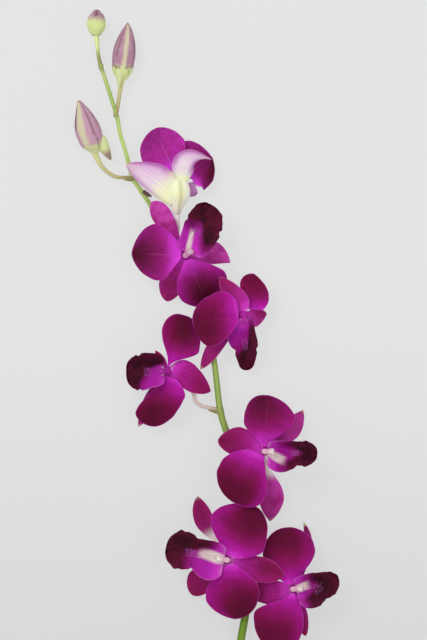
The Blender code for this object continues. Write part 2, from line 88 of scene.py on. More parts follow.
# How finely each kind of piece is split. ROW_EASE sets the rows closer towards a blade's tip.
PETAL_GRID = (60, 48)
SEPAL_GRID = (52, 32)
LIP_GRID = (88, 76)
TUBE_SIDES = 28
BUD_SIDES = 72
FRINGE_SIDES = 5
PATH_STEPS = 8
BRACT_STEPS = 6
CAP_STEPS = 4
DOME_RINGS = 5
ROW_EASE = 2.0
SLOPE_STEP = 0.004

# Fine forms that only the looks have: how far the blades wave and the lips' edges ruffle, the
# three keels of a lip, the hook in a petal's edge, the teeth of the fringe and how much they
# stray, lean and rise, where the anther cap's rings lie from the pillar's end, and how the stem
# swells at its joints and under its last bud. A stump is the half-open bloom's lip. GROOVES,
# SEAMS, WINGS and RIDGES are how far the cap, the buds, the pillar and the stem depart from round.
PETAL_WAVE = 0.45
SEPAL_WAVE = 0.3
MIDRIB_HALF = 1.1
LIP_RUFFLE = 0.8
STUMP_RUFFLE = 0.2
STUMP_LILAC = 0.7
KEELS = (-1.3, 0.0, 1.3)
KEEL_HALF = 0.42
KEEL_RISE = 0.5
HOOK_PULL = (-3.0, -2.6)
FRINGE_KEELS = (-0.18, -0.1, -0.03, 0.04, 0.11, 0.19)
FRINGE_TEETH = 10
FRINGE_ROOT = 0.2
FRINGE_STRAY = (0.012, 0.025)
FRINGE_LEAN = (0.3, 0.9)
FRINGE_RISE = (0.5, 0.9)
FRINGE_RADII = (0.2, 0.15, 0.04)
CAP_PLACES = (-1.5, -0.9, -0.3, 0.15)
CAP_GROOVES = 0.1
PILLAR_WINGS = 0.06
BUD_SEAMS = 0.06
CHIN_SEAMS = 0.08
STEM_RIDGES = 0.012
RIDGE_COUNT = 7
JOINT_SWELL = 0.16
JOINT_SPREAD = 2.2
JOINT_MARK = 1.6
TIP_FLARE = 0.3
FLARE_START = 0.965
DOME_POINT = 0.08

# A sepal or petal. turn and reach lead from the bloom's centre to the tip. left and right are
# its sides: greatest half width, where that lies along the length from 0 to 1, the neck power
# (more is a longer, thinner claw) and the tip power (less is blunter). bow is the midrib's
# sideways swing to the left, tip the tip's height over the table, arch the extra height half
# way, cup the edges' rise and roll the left edge's rise over the midrib. shift moves the claw
# from the bloom's centre.
Blade = namedtuple(
    "Blade",
    "turn reach left right tip arch cup roll bow shift",
    defaults=(0.0, 0.0, 0.0, 0.0, (0.0, 0.0, 0.0)),
)

# A lip: half widths of its side lobes and of its middle lobe, left and right. up is how far
# the side lobes stand up, fold the rise of the middle lobe's edges, broad is where the
# middle lobe is broadest, and lobe is where the side lobes end.
Lip = namedtuple(
    "Lip",
    "turn reach side mid tip up fold wave arch bow broad lobe shift",
    defaults=(6.0, 2.0, 0.8, 1.0, 0.0, 0.74, 0.62, (0.0, 0.0, 0.0)),
)

# petals are the left and the right one. column holds the turn, reach and rise of the pillar at
# the throat, and column_shift moves its foot. pedicel holds the points from the stem to the
# back of the bloom.
Bloom = namedtuple(
    "Bloom", "centre level sepals petals lip column pedicel column_shift", defaults=((0.0, 0.0, 0.0),)
)

BLOOMS = {
    1: Bloom(
        centre=(49.3, -108.5), level=13.0, column=(10, 4.6, 6.5),
        sepals=(
            Blade(185, 30.0, (8.7, 0.3, 0.6, 0.9), (6.2, 0.5, 0.6, 0.8), 10.4),
            Blade(285, 29.2, (4.4, 0.5, 1.0, 0.6), (4.8, 0.5, 1.0, 0.6), 0.2, 3.0),
            Blade(80.3, 38.2, (3.6, 0.5, 1.0, 0.8), (1.8, 0.8, 6.0, 0.8), 0.2, 1.0, 0.0, -3.0, -6.0),
        ),
        petals=(
            Blade(255, 37.3, (11.6, 0.62, 0.8, 0.45), (17.8, 0.5, 2.6, 0.45), 10.5, 1.5),
            Blade(95, 35.4, (15.6, 0.58, 1.0, 0.4), (14.8, 0.62, 1.6, 0.5), 9.5, 0.6),
        ),
        lip=Lip(13.4, 26.9, (6.2, 11.6), (5.8, 9.4), 14.0, broad=0.66),
        pedicel=((23.0, -111.5, 6.0), (31.0, -112.5, 6.2), (39.0, -111.0, 6.4), (45.0, -109.4, 7.6)),
    ),
    2: Bloom(
        centre=(11.3, -91.4), level=18.0, column=(167, 5.6, 7.0),
        sepals=(
            Blade(345, 33.8, (6.8, 0.6, 0.7, 0.65), (8.4, 0.5, 0.7, 0.5), 14.6),
            Blade(115.5, 39.2, (6.4, 0.67, 4.4, 0.6), (4.8, 0.7, 4.0, 0.8), 0.2, 2.5, 0.0, 0.0, 1.8),
            Blade(226, 29.6, (5.6, 0.7, 1.4, 0.5), (10.0, 0.65, 1.2, 0.5), 0.4, 3.0),
        ),
        petals=(
            Blade(65, 34.7, (18.8, 0.56, 1.3, 0.62), (16.5, 0.4, 1.1, 0.4), 14.5, 2.0),
            Blade(279, 34.7, (15.4, 0.57, 1.0, 0.4), (15.6, 0.55, 1.3, 0.65), 13.5, 2.0),
        ),
        lip=Lip(169, 35.8, (12.0, 8.4), (10.4, 12.0), 17.0, lobe=0.54),
        pedicel=((24.6, -84.0, 6.0), (22.5, -87.5, 7.0), (19.4, -90.5, 8.6), (16.3, -91.5, 11.0)),
    ),
    3: Bloom(
        centre=(32.8, -29.0), level=19.0, column=(0, 4.5, 7.0),
        sepals=(
            Blade(167, 27.4, (6.8, 0.5, 0.7, 0.5), (10.4, 0.55, 0.9, 0.6), 13.0, 1.0),
            Blade(274.5, 41.4, (9.2, 0.64, 2.4, 0.72), (5.0, 0.7, 2.0, 0.9), 0.2, 3.0),
            Blade(46, 32.4, (4.6, 0.5, 0.9, 1.1), (8.2, 0.6, 0.9, 0.75), 0.2, 3.0),
        ),
        petals=(
            Blade(246, 34.2, (11.0, 0.75, 1.4, 0.5), (20.8, 0.5, 0.6, 0.36), 18.0, 1.5),
            Blade(88, 32.2, (12.7, 0.55, 1.8, 0.32), (16.6, 0.6, 1.8, 0.6), 15.0, 2.0),
        ),
        lip=Lip(357.4, 30.2, (5.8, 10.4), (7.0, 7.4), 18.0),
        pedicel=((19.0, -39.0, 6.0), (22.5, -37.0, 7.0), (26.5, -34.0, 9.5), (29.8, -31.2, 13.0)),
    ),
    4: Bloom(
        centre=(-23.2, 17.0), level=14.0, column=(180, 4.0, 7.0),
        sepals=(
            Blade(335, 27.6, (10.4, 0.3, 0.5, 0.78), (5.4, 0.6, 0.8, 0.6), 9.0, 0.5),
            Blade(242.5, 36.8, (4.8, 0.5, 1.0, 0.8), (4.8, 0.5, 1.0, 0.8), 0.2, 1.0),
            Blade(121, 13.5, (2.6, 0.5, 1.0, 0.7), (2.6, 0.5, 1.0, 0.7), 0.6, 1.0),
        ),
        petals=(
            Blade(76, 33.6, (8.8, 0.7, 2.4, 0.4), (15.0, 0.45, 3.2, 0.32), 10.5, 2.0),
            Blade(249, 33.4, (14.9, 0.32, 0.8, 0.4), (8.6, 0.84, 2.4, 0.45), 9.0, 2.0),
        ),
        lip=Lip(182, 23.6, (7.8, 9.6), (10.0, 9.4), 10.4, lobe=0.7),
        pedicel=(
            (7.8, -5.8, 6.0), (2.5, -4.6, 6.2), (-3.0, -3.4, 6.4), (-6.8, -0.6, 6.6), (-8.0, 4.0, 6.8),
            (-11.5, 9.0, 7.2), (-17.5, 13.6, 8.4),
        ),
    ),
    5: Bloom(
        centre=(20.6, 49.2), level=20.0, column=(280, 4.0, 7.0),
        sepals=(
            Blade(122, 26.0, (5.0, 0.4, 0.7, 0.8), (7.8, 0.3, 0.5, 0.75), 16.4),
            Blade(2, 13.6, (3.4, 0.6, 0.6, 0.5), (7.2, 0.4, 0.6, 0.8), 6.0, 1.0),
            Blade(231.6, 39.7, (3.0, 0.7, 1.0, 0.6), (5.8, 0.6, 0.9, 0.8), 9.6, -2.2),
        ),
        petals=(
            Blade(
                188, 29.4, (15.4, 0.7, 1.0, 0.5), (15.2, 0.36, 0.6, 0.45), 16.5, 1.8,
                shift=(0.0, 0.0, 0.35),
            ),
            Blade(
                87, 23.4, (7.4, 0.74, 1.2, 0.4), (9.8, 0.42, 0.45, 0.8), 9.0, 0.5, shift=(4.6, 0.6, -3.4),
            ),
        ),
        lip=Lip(273.4, 31.8, (5.0, 9.0), (6.6, 5.8), 7.0, up=0.5, fold=1.0, broad=0.6),
        pedicel=((-0.2, 40.0, 6.0), (5.0, 41.0, 6.8), (11.5, 43.6, 9.0), (17.0, 47.0, 13.6)),
    ),
    6: Bloom(
        centre=(-12.5, 83.5), level=17.0, column=(40, 4.0, 7.0),
        sepals=(
            Blade(247, 28.4, (6.0, 0.6, 0.8, 0.6), (8.5, 0.6, 0.9, 0.5), 0.4, 4.0),
            Blade(351, 26.0, (10.6, 0.58, 1.4, 0.7), (3.2, 0.36, 0.5, 1.2), 6.0, 2.0),
            Blade(122, 36.6, (5.3, 0.74, 1.4, 0.55), (6.4, 0.76, 1.4, 0.5), 11.6, -1.0),
        ),
        petals=(
            Blade(294, 31.2, (16.8, 0.64, 1.3, 0.7), (13.2, 0.62, 1.2, 0.5), 9.0, 1.5),
            Blade(178, 31.2, (15.0, 0.48, 1.6, 0.62), (17.2, 0.6, 0.8, 0.6), 11.0, 2.6),
        ),
        lip=Lip(66, 32.6, (6.2, 10.8), (7.8, 12.7), 17.0, broad=0.67),
        pedicel=((-13.6, 75.4, 5.6), (-13.2, 76.4, 7.6), (-12.8, 78.2, 9.6), (-12.5, 81.0, 11.6)),
    ),
    7: Bloom(
        centre=(-17.4, 127.0), level=14.0, column=(20, 2.0, -4.6), column_shift=(6.8, 2.6, -7.05),
        sepals=(
            Blade(
                139.8, 36.2, (4.0, 0.5, 0.35, 0.5), (13.4, 0.4, 0.35, 0.8), 9.8, 4.5, -2.5,
                shift=(-1.6, -14.0, 1.5),
            ),
            Blade(
                41, 22.2, (7.8, 0.38, 0.85, 1.2), (5.6, 0.32, 0.5, 2.2), 9.6, 3.5, -2.5, 0.0, 7.6,
                shift=(3.0, -2.6, 1.4),
            ),
            Blade(80, 18.0, (5.0, 0.5, 0.8, 0.7), (5.0, 0.5, 0.8, 0.7), 0.2, shift=(0.0, -1.0, -3.4)),
        ),
        petals=(
            Blade(
                114.5, 32.2, (14.3, 0.6, 1.0, 0.5), (12.6, 0.58, 1.5, 0.52), 8.0, -0.6,
                shift=(0.3, 0.6, -3.6),
            ),
            Blade(39, 19.8, (17.0, 0.56, 0.8, 0.34), (12.2, 0.44, 0.5, 0.7), 3.4, shift=(4.4, 1.6, -6.0)),
        ),
        lip=Lip(282, 8.6, (2.2, 2.4), (3.2, 2.6), 2.4, up=0.0, fold=0.0, shift=(7.1, -0.6, -7.2)),
        pedicel=(
            (-20.6, 89.0, 5.6), (-18.4, 92.0, 6.6), (-17.2, 97.0, 7.6), (-17.0, 102.0, 8.6),
            (-17.6, 107.4, 9.6),
        ),
    ),
}

# The bloom that is half open, the bloom and place of the petal with a hook, the blooms on pale
# stalks, and the bud whose spur is fresh to its tip
HALF_OPEN = 7
HOOKED_PETAL = (7, 1)
PALE_PEDICELS = (4, 7)
FRESH_SPUR = 2

# The half-open bloom shows its chin: points from the pedicel to the throat, and radii.
OPENING_CHIN = (
    ((-17.6, 107.9, 9.7), 2.2), ((-17.6, 112.0, 10.4), 3.8), ((-16.9, 118.0, 10.6), 6.6),
    ((-16.7, 123.6, 10.2), 6.2), ((-17.0, 128.0, 9.4), 3.4),
)

# Points along the middle of the stem, from the cut end to the last bud.
RACHIS = (
    (14.8, -228.0, 2.2), (15.4, -186.0, 3.6), (17.2, -160.0, 5.0), (19.3, -139.0, 6.0),
    (22.0, -123.0, 6.0), (24.0, -104.4, 6.0), (24.8, -84.0, 6.0), (24.3, -66.7, 6.0), (20.7, -49.3, 6.0),
    (16.3, -31.9, 6.0), (10.7, -17.4, 6.0), (7.3, -5.8, 6.0), (5.5, 8.7, 6.0), (3.9, 22.0, 6.0),
    (1.4, 34.8, 6.0), (-4.4, 55.1, 5.8), (-13.6, 75.4, 5.6), (-24.0, 94.0, 5.2), (-33.3, 113.1, 5.0),
    (-40.9, 124.7, 4.8), (-43.6, 128.8, 4.8), (-46.9, 142.1, 4.8), (-50.4, 153.7, 4.8),
    (-52.5, 164.2, 5.0), (-57.7, 181.0, 5.0), (-61.8, 193.7, 5.2), (-63.3, 201.0, 5.3),
    (-64.2, 211.2, 5.3),
)

# A bud: its spine from the pedicel to the tip, its radius at each point of the spine, the
# root and tip of the spur under it, and how stout that spur is.
Bud = namedtuple("Bud", "spine radii spur girth", defaults=(1.0,))
BUDS = {
    1: Bud(
        spine=(
            (-65.3, 144.1, 6.2), (-66.0, 147.4, 6.6), (-68.0, 152.8, 7.0), (-70.0, 159.0, 7.0),
            (-71.8, 165.4, 6.8), (-74.2, 172.6, 6.4),
        ),
        radii=(3.0, 6.2, 7.4, 7.0, 4.8, 1.2),
        spur=((-61.6, 149.6, 6.6), (-56.2, 139.6, 5.4)),
        girth=1.5,
    ),
    2: Bud(
        spine=(
            (-49.4, 187.0, 5.6), (-49.2, 190.0, 5.8), (-48.8, 195.0, 6.0), (-48.1, 201.0, 6.0),
            (-47.2, 207.5, 6.0), (-46.4, 213.5, 6.0), (-46.1, 218.0, 6.0),
        ),
        radii=(3.8, 5.7, 6.4, 6.6, 5.4, 3.1, 0.5),
        spur=((-50.6, 190.4, 9.0), (-51.2, 181.4, 8.6)),
    ),
    3: Bud(
        spine=(
            (-64.4, 212.0, 5.3), (-64.4, 213.6, 5.3), (-64.3, 216.0, 5.3), (-64.2, 218.8, 5.3),
            (-64.1, 221.3, 5.3), (-64.1, 223.2, 5.3), (-64.1, 224.6, 5.3),
        ),
        radii=(3.1, 4.4, 5.3, 5.4, 4.7, 3.6, 2.2),
        spur=((-62.4, 213.8, 5.3), (-61.5, 211.9, 5.1)),
        girth=0.7,
    ),
}

BUD_PEDICELS = (
    (
        (-43.8, 128.8, 5.0), (-51.9, 129.0, 5.0), (-56.6, 131.1, 4.8), (-60.6, 134.6, 5.0),
        (-64.1, 140.4, 5.6), (-65.1, 143.5, 6.0),
    ),
    (
        (-52.8, 164.7, 5.0), (-51.6, 172.0, 5.0), (-50.4, 180.0, 5.2), (-49.5, 186.5, 5.5),
    ),
)

# A bract at a node of the stem: where it sits, which way it points, and its length.
BRACTS = (
    ((-37.0, 120.2, 5.2), 333, 5.4),
    ((-61.8, 193.7, 5.2), 283, 5.0),
    ((7.0, -6.6, 6.2), 172, 6.5),
    ((-43.4, 128.2, 5.2), 190, 4.5),
    ((-52.9, 164.4, 5.2), 100, 4.0),
)
OLD_BRACT = 0
YOUNG_BRACTS = (1, 4)

# The colour of a blade. dark says how dark its darkest place is, along and across where it lies
# (left is positive), long and wide how far it spreads. glow is how bright and violet its left and
# right edges are, partly their own violet and partly a painted sheen, pale the share of its foot
# that is cream, green how green its tip is, and light how much paler than the other blooms it is.
Tone = namedtuple(
    "Tone",
    "dark along across long wide glow pale green light",
    defaults=((0.0, 0.0), 0.0, 0.0, 0.0),
)

PETAL_TONES = {
    1: (Tone(0.7, 0.82, -0.3, 0.42, 1.1, (0.6, 0.0)), Tone(0.8, 0.9, 0.3, 0.4, 1.1, (0.0, 0.6))),
    2: (Tone(0.9, 0.84, -0.35, 0.42, 0.9, (0.9, 0.1)), Tone(0.95, 0.84, 0.3, 0.44, 0.9, (0.0, 0.8))),
    3: (
        Tone(0.85, 0.8, -0.45, 0.42, 0.9, (0.9, 0.0)),
        Tone(0.95, 0.88, 0.25, 0.4, 0.9, (0.2, 0.4), light=0.07),
    ),
    4: (Tone(1.0, 0.78, -0.3, 0.36, 0.7, (0.3, 0.4)), Tone(0.95, 0.88, 0.1, 0.5, 1.0, (0.0, 0.0))),
    5: (Tone(0.6, 0.74, 0.3, 0.44, 0.9, (0.0, 0.2)), Tone(0.4, 0.7, -0.2, 0.5, 0.8, (0.0, 0.0))),
    6: (
        Tone(1.1, 0.76, 0.05, 0.46, 0.85, (0.9, 0.9), light=0.1),
        Tone(1.1, 0.96, 0.1, 0.5, 1.0, (0.4, 0.7), light=0.2),
    ),
    7: (
        Tone(0.5, 0.9, 0.5, 0.44, 0.9, (0.0, 0.2), light=0.6),
        Tone(1.3, 0.8, -1.0, 0.44, 0.75, (0.3, 0.0), light=0.24),
    ),
}

SEPAL_TONES = {
    1: (
        Tone(0.6, 0.7, 0.1, 0.5, 0.9, (0.0, 0.1)),
        Tone(0.4, 0.8, 0.0, 0.4, 0.8),
        Tone(0.5, 0.9, 0.0, 0.5, 1.0, (0.3, 0.3), 0.0, 2.0, 0.4),
    ),
    2: (
        Tone(0.65, 0.7, 0.2, 0.4, 0.8, (0.0, 0.2)),
        Tone(0.5, 0.7, 0.3, 0.4, 0.7, (0.0, 0.2), 0.64, 0.3),
        Tone(0.4, 0.9, 0.2, 0.5, 0.8),
    ),
    3: (
        Tone(0.7, 0.9, 0.0, 0.4, 0.9, (0.2, 0.2)),
        Tone(0.1, 0.9, 0.2, 0.4, 0.8, (0.4, 0.2), 0.5, 0.4, 0.36),
        Tone(0.15, 0.9, 0.2, 0.4, 0.8, (0.2, 0.3), 0.0, 0.5, 0.36),
    ),
    4: (
        Tone(0.4, 0.8, 0.2, 0.4, 0.8, (0.2, 0.0)),
        Tone(0.2, 0.7, 0.0, 0.4, 0.8, (0.0, 0.0), 0.0, 1.0, 0.3),
        Tone(0.4, 0.7, 0.0, 0.4, 0.8, (0.2, 0.0)),
    ),
    5: (
        Tone(0.3, 0.75, 0.2, 0.4, 0.8, (0.3, 0.0), light=0.1),
        Tone(0.2, 0.9, 0.0, 0.4, 0.8, (0.2, 0.3), light=0.2),
        Tone(0.2, 0.9, 0.0, 0.4, 0.8, (0.0, 0.2), 0.0, 0.5, 0.1),
    ),
    6: (
        Tone(0.2, 0.9, 0.2, 0.5, 0.9, (0.1, 0.4), light=0.1),
        Tone(0.45, 0.8, -0.5, 0.4, 0.7, (0.5, 0.3), 0.0, 0.2, 0.7),
        Tone(0.1, 0.9, 0.3, 0.4, 0.8, (0.3, 0.5), light=0.66),
    ),
    7: (
        Tone(0.0, 1.0, 0.0, 1.0, 1.0, (0.4, 1.0), 0.62, 0.9),
        Tone(0.0, 1.0, 0.0, 1.0, 1.0, (1.0, 1.0), 0.26, 0.3),
        Tone(0.0, 1.0, 0.0, 1.0, 1.0),
    ),
}

# The colour of a lip. dark is where its dark part starts at its left edge, its middle and its
# right edge. throat is where the cream throat ends, how far it reaches to each side, and where
# its middle has drifted to at its end. fringe is where the keels' fringe starts and ends.
# light is how much paler its side lobes are than the other blooms', and keels where the keels
# with the fringe lie across it.
LipTone = namedtuple("LipTone", "dark throat fringe light keels", defaults=(0.0,))

LIP_TONES = {
    1: LipTone((0.34, 0.42, 0.14), (0.34, 0.26, 0.16), (0.42, 0.6), 0.2, -0.26),
    2: LipTone((0.54, 0.6, 0.2), (0.45, 0.3, -0.2), (0.5, 0.64), 0.3),
    3: LipTone((0.34, 0.62, 0.34), (0.38, 0.22, -0.44), (0.5, 0.62), 0.0),
    4: LipTone((0.58, 0.4, -0.1), (0.1, 0.3, 0.0), (0.38, 0.54), 0.3),
    5: LipTone((0.1, 0.5, 0.6), (0.06, 0.3, 0.0), (0.42, 0.6), 0.0),
    6: LipTone((0.46, 0.5, 0.16), (0.44, 0.17, 0.3), (0.42, 0.48), 0.8),
    7: LipTone((2.0, 2.0, 2.0), (0.06, 0.3, 0.0), (0.4, 0.6), 1.0),
}

# How pale each bloom's column is, from the magenta of the petals to cream
COLUMN_TONES = {1: 0.9, 2: 1.0, 3: 0.9, 4: 0.0, 5: 0.0, 6: 0.6, 7: 0.0}

# The colour of a bud: where the pale stripe runs, in turns, and its half width, how far the
# green foot reaches, how pale its purple is, how ragged the foot's edge, how dark the collar
# along that edge, and its dark seams: the turn, start, end, darkness and width of each
BudTone = namedtuple("BudTone", "stripe half foot light ragged collar seams")

BUD_TONES = {
    1: BudTone(
        0.33, 0.055, 0.16, 0.7, 1.0, 0.0,
        ((0.17, 0.3, 0.98, 0.8, 0.012), (0.15, 0.1, 0.3, 0.8, 0.012), (0.46, 0.5, 0.95, 0.7, 0.02)),
    ),
    2: BudTone(
        0.225, 0.034, 0.22, 0.2, 0.7, 0.6,
        ((0.36, 0.16, 0.26, 0.9, 0.012), (0.13, 0.12, 0.2, 0.8, 0.012), (0.36, 0.4, 0.9, 0.5, 0.02)),
    ),
    3: BudTone(
        0.25, 0.0, 0.62, 0.1, 0.3, 0.0,
        ((0.25, 0.74, 1.0, 0.8, 0.05), (0.4, 0.0, 0.1, 0.9, 0.03), (0.09, 0.0, 0.1, 0.9, 0.03)),
    ),
}

# Colours, linear
CREAM = (0.8, 0.7, 0.66)
TIP_GREEN = (0.6, 0.56, 0.32)
# The violet of the blades' bright edges: partly their own violet, partly painted sheen
GLOW = (0.42, 0.007, 0.31)
PETAL_DARK = (0.075, 0.002, 0.018)
# painted highlight: the pale line along a petal's thin rim
PETAL_RIM_HIGHLIGHT = (0.6, 0.1, 0.52)
LIP_DARK = (0.034, 0.0015, 0.009)
LIP_RED = (0.085, 0.003, 0.02)
LIP_DEEP_EDGE = (0.12, 0.006, 0.04)
LIP_VIOLET = (0.32, 0.007, 0.26)
LAVENDER = (0.44, 0.12, 0.44)
YOUNG_GREEN = (0.86, 0.89, 0.52)

# Shared by the materials: how fine their grain is, in features to a metre, gloss, the height of
# fine relief in metres, how far veins wander, and how pink most flower stalks are
GRAIN = 900.0
GLOSS = 0.3
FINE_BUMP = 0.00015
LINE_WANDER = 1.4
STALK_PINK = 0.3

# The photograph's framing: its size in pixels, the scale on the table, and the pixel that lies
# over the plan's origin. The camera hangs over the middle of the picture. It shows what lies
# within its range, in metres.
PHOTO_SIZE = (427, 640)
PIXEL = 0.58
ORIGIN_PIXEL = (207.5, 400.0)
CAMERA_HEIGHT = 1800.0
CAMERA_RANGE = (0.05, 20.0)
SENSOR = 36.0

# The room, in metres and watts: the floor's half size and level, its glow, which changes by a
# little between two places along Y, the light from all round, and each lamp's name, place, size
# and power
FLOOR_HALF = 3.0
FLOOR_LEVEL = -0.0002
FLOOR_GLOW = 0.646
GLOW_CHANGE = -0.085
GLOW_PLACES = (0.09, -0.2)
ROOM_LIGHT = 0.68
LIGHTS = (("key", (-0.9, 0.9, 1.6), 1.2, 15.5), ("fill", (1.1, -0.4, 1.5), 1.4, 5.5))


def add_object(name, data):
    item = bpy.data.objects.new(name, data)
    bpy.context.scene.collection.objects.link(item)
    return item


class Shape:
    """Closed shells gathered into one mesh, each point with its values for the material."""

    VALUES = ("along", "across", "rim", "under", "dark", "glow", "pale", "green", "kind", "light")

    def __init__(self):
        self.points = []
        self.faces = []
        self.values = {name: [] for name in self.VALUES}
        self.count = 0

    def add(self, points, faces, **values):
        self.points.append(points)
        self.faces += [[corner + self.count for corner in face] for face in faces]
        for name, stored in self.values.items():
            stored.append(np.broadcast_to(values.get(name, 0.0), len(points)))
        self.count += len(points)

    def build(self, name, material):
        points = np.concatenate(self.points)
        points = (points - np.array((*MIDDLE, 0.0))) * MM
        mesh = bpy.data.meshes.new(name)
        mesh.from_pydata(points.tolist(), [], self.faces)
        for value, stored in self.values.items():
            layer = mesh.attributes.new(value, "FLOAT", "POINT")
            layer.data.foreach_set("value", np.concatenate(stored).astype(np.float32))
        mesh.shade_smooth()
        mesh.materials.append(material)
        piece = add_object(name + "_skin", mesh)
        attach(piece, "root")
        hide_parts(name)


def heading(turn):
    angle = math.radians(turn)
    return np.array((math.cos(angle), math.sin(angle), 0.0))


def centre_under(bloom, drop):
    """The place under the bloom's centre, by drop."""
    return np.array((*bloom.centre, bloom.level - drop))


def half_width(side, u):
    """A side's width at the share u of the length, round at its broadest place."""
    half, broad, neck, blunt = side
    before = np.sin(np.pi / 2 * np.clip(u / broad, 0, 1)) ** neck
    after = np.sin(np.pi / 2 * np.clip((1 - u) / (1 - broad), 0, 1)) ** blunt
    return half * np.where(u <= broad, before, after)


def bell(u, start, end):
    """A smooth hump from 0 at start, over 1, to 0 at end."""
    share = np.clip((u - start) / (end - start), 0, 1)
    return np.sin(np.pi * share)


def hump(value, middle, width):
    """1 at the middle, and falling smoothly to nothing on both sides."""
    return np.exp(-(((value - middle) / width) ** 2))


def smooth_step(value, low, high):
    share = np.clip((value - low) / (high - low), 0, 1)
    return share * share * (3 - 2 * share)


def midline(origin, blade, u):
    """The midrib's place in plan, and the direction to its left."""
    ahead = heading(blade.turn)
    left = np.array((-ahead[1], ahead[0], 0.0))
    swing = blade.bow * 4 * u * (1 - u)
    slope = blade.bow * 4 * (1 - 2 * u)
    place = origin + ahead * (blade.reach * u)[..., None] + left * swing[..., None]
    along = ahead * blade.reach + left * slope[..., None]
    side = np.stack((-along[..., 1], along[..., 0], np.zeros_like(u)), axis=-1)
    return place, side / np.linalg.norm(side, axis=-1, keepdims=True)


def blade_width(blade, u, v):
    side = np.where(v > 0, half_width(blade.left, u), half_width(blade.right, u))
    full = np.where(v > 0, blade.left[0], blade.right[0])
    return side, side / full


def blade_surface(bloom, blade, drop, wave, seed):
    """The blade's middle surface as a function of u, to the tip, and v, right to left."""
    origin = centre_under(bloom, drop) + blade.shift

    def surface(u, v):
        place, left = midline(origin, blade, u)
        width, spread = blade_width(blade, u, v)
        claw = CLAW_HALF * (1 - u) ** 3
        reach = np.hypot(width, claw)
        height = origin[2] + (blade.tip - origin[2]) * u + blade.arch * np.sin(np.pi * u)
        height += (blade.cup * v * v + blade.roll * v) * spread
        rim = np.abs(v) ** 3 * bell(u, 0.12, 1.15)
        height += wave * rim * np.sin(8.0 * u + 3.0 * seed + 2.4 * np.sign(v))
        height -= wave * 0.9 * hump(v * reach, 0.0, MIDRIB_HALF) * bell(u, -0.2, 0.95)
        scallop = 0.012 * np.sin(13.0 * u + 2 * seed + v) + 0.007 * np.sin(29.0 * u + 5 * seed)
        edge = 1 + scallop * np.abs(v) * bell(u, 0.2, 1.0)
        point = place + left * (v * reach * edge)[..., None]
        point[..., 2] = height
        return point

    return surface


def lip_surface(bloom, lip, ruffle, seed):
    """The lip's middle surface: claw, side lobes and a ruffled middle lobe, with three keels."""
    origin = centre_under(bloom, PETAL_DROP) + lip.shift

    def surface(u, v):
        place, left = midline(origin, lip, u)
        sides = np.where(v > 0, *lip.side)
        halves = [half_width((half, lip.broad, LIP_NECK, LIP_BLUNT), u) for half in lip.mid]
        lobe = np.where(v > 0, *halves)
        side_lobe = bell(u, 0.0, lip.lobe) ** LOBE_FULLNESS
        width = np.hypot(sides * side_lobe, lobe) + LIP_CLAW_HALF * (1 - u) ** 3
        height = origin[2] + (lip.tip - origin[2]) * u + lip.arch * np.sin(np.pi * u)
        height += lip.up * side_lobe * np.abs(v) ** SIDE_LOBE_CURVE
        height += lip.fold * bell(u, 0.4, 1.1) * v * v
        waves = np.sin(LIP_WAVES[0] * u + LIP_WAVES[1] * v)
        height += lip.wave * waves * bell(u, 0.45, 1.3) * np.abs(v)
        rim = np.abs(v) ** 3 * smooth_step(u, 0.4, 0.62)
        end = smooth_step(u, 0.84, 1.0)
        folds = np.sin(27.0 * u + 1.7 * seed + 2 * np.sign(v)) * (1 - end)
        folds += np.sin(9.0 * v + seed) * end
        height += ruffle * np.maximum(rim, end) * folds
        across = v * width
        keels = sum(hump(across, at, KEEL_HALF) for at in KEELS)
        height += KEEL_RISE * keels * bell(u, 0.12, 0.7)
        scallop = 1 + 0.03 * np.sin(30.0 * u + seed) * rim
        scallop = scallop + 0.02 * np.sin(51.0 * u + 2 * seed) * rim
        point = place + left * (across * scallop)[..., None]
        point[..., 2] = height
        return point

    return surface


def add_sheet(shape, surface, reach, width_at, first, grid, paint_at, kind=0.0):
    """Adds a closed blade about a middle surface, thinner at its rim and never under the table."""
    rows, columns = grid
    u = first + (1 - first) * (1 - (1 - np.arange(rows) / rows) ** ROW_EASE)
    v = np.linspace(-1, 1, columns + 1)
    u, v = np.meshgrid(u, v, indexing="ij")
    u = np.append(u.ravel(), 1 - SLOPE_STEP)
    v = np.append(v.ravel(), 0.0)
    step = SLOPE_STEP
    ahead = surface(np.minimum(u + step, 1.0), v) - surface(u - step, v)
    aside = surface(u, np.minimum(v + step, 1.0)) - surface(u, np.maximum(v - step, -1.0))
    up = np.cross(ahead, aside)
    up /= np.linalg.norm(up, axis=1, keepdims=True)
    u[-1] = 1.0
    middle = surface(u, v)
    rim = np.minimum((1 - np.abs(v)) * width_at(u, v), (1 - u) * reach)
    thick = BLADE_EDGE + (BLADE_BODY - BLADE_EDGE) * smooth_step(rim, 0.0, RIM_WIDTH)
    top = middle + up * (thick / 2)[:, None]
    bottom = middle - up * (thick / 2)[:, None]
    bottom[:, 2] = np.maximum(bottom[:, 2], 0.0)
    top[:, 2] = np.maximum(top[:, 2], bottom[:, 2] + thick * np.maximum(0.2, up[:, 2]))

    wide = columns + 1
    a = (np.arange(rows - 1)[:, None] * wide + np.arange(columns)).ravel()
    tiles = np.stack((a, a + 1, a + wide + 1, a + wide), axis=1).tolist()
    last = (rows - 1) * wide
    tip = rows * wide
    tiles += [[last + j, last + j + 1, tip] for j in range(columns)]
    under = len(top)
    edge = list(range(wide)) + [i * wide + columns for i in range(1, rows)] + [tip]
    edge += [i * wide for i in range(rows - 1, 0, -1)]
    faces = [face[::-1] for face in tiles] + [[c + under for c in face] for face in tiles]
    for a, b in zip(edge, edge[1:] + edge[:1]):
        faces.append([a, b, b + under, a + under])
    painted = {name: np.tile(value, 2) for name, value in paint_at(u, v).items()}
    shape.add(
        np.concatenate((top, bottom)),
        faces,
        along=np.tile(u, 2),
        across=np.tile(v, 2),
        rim=np.tile(rim, 2),
        under=np.repeat((0.0, 1.0), under),
        kind=kind,
        **painted,
    )


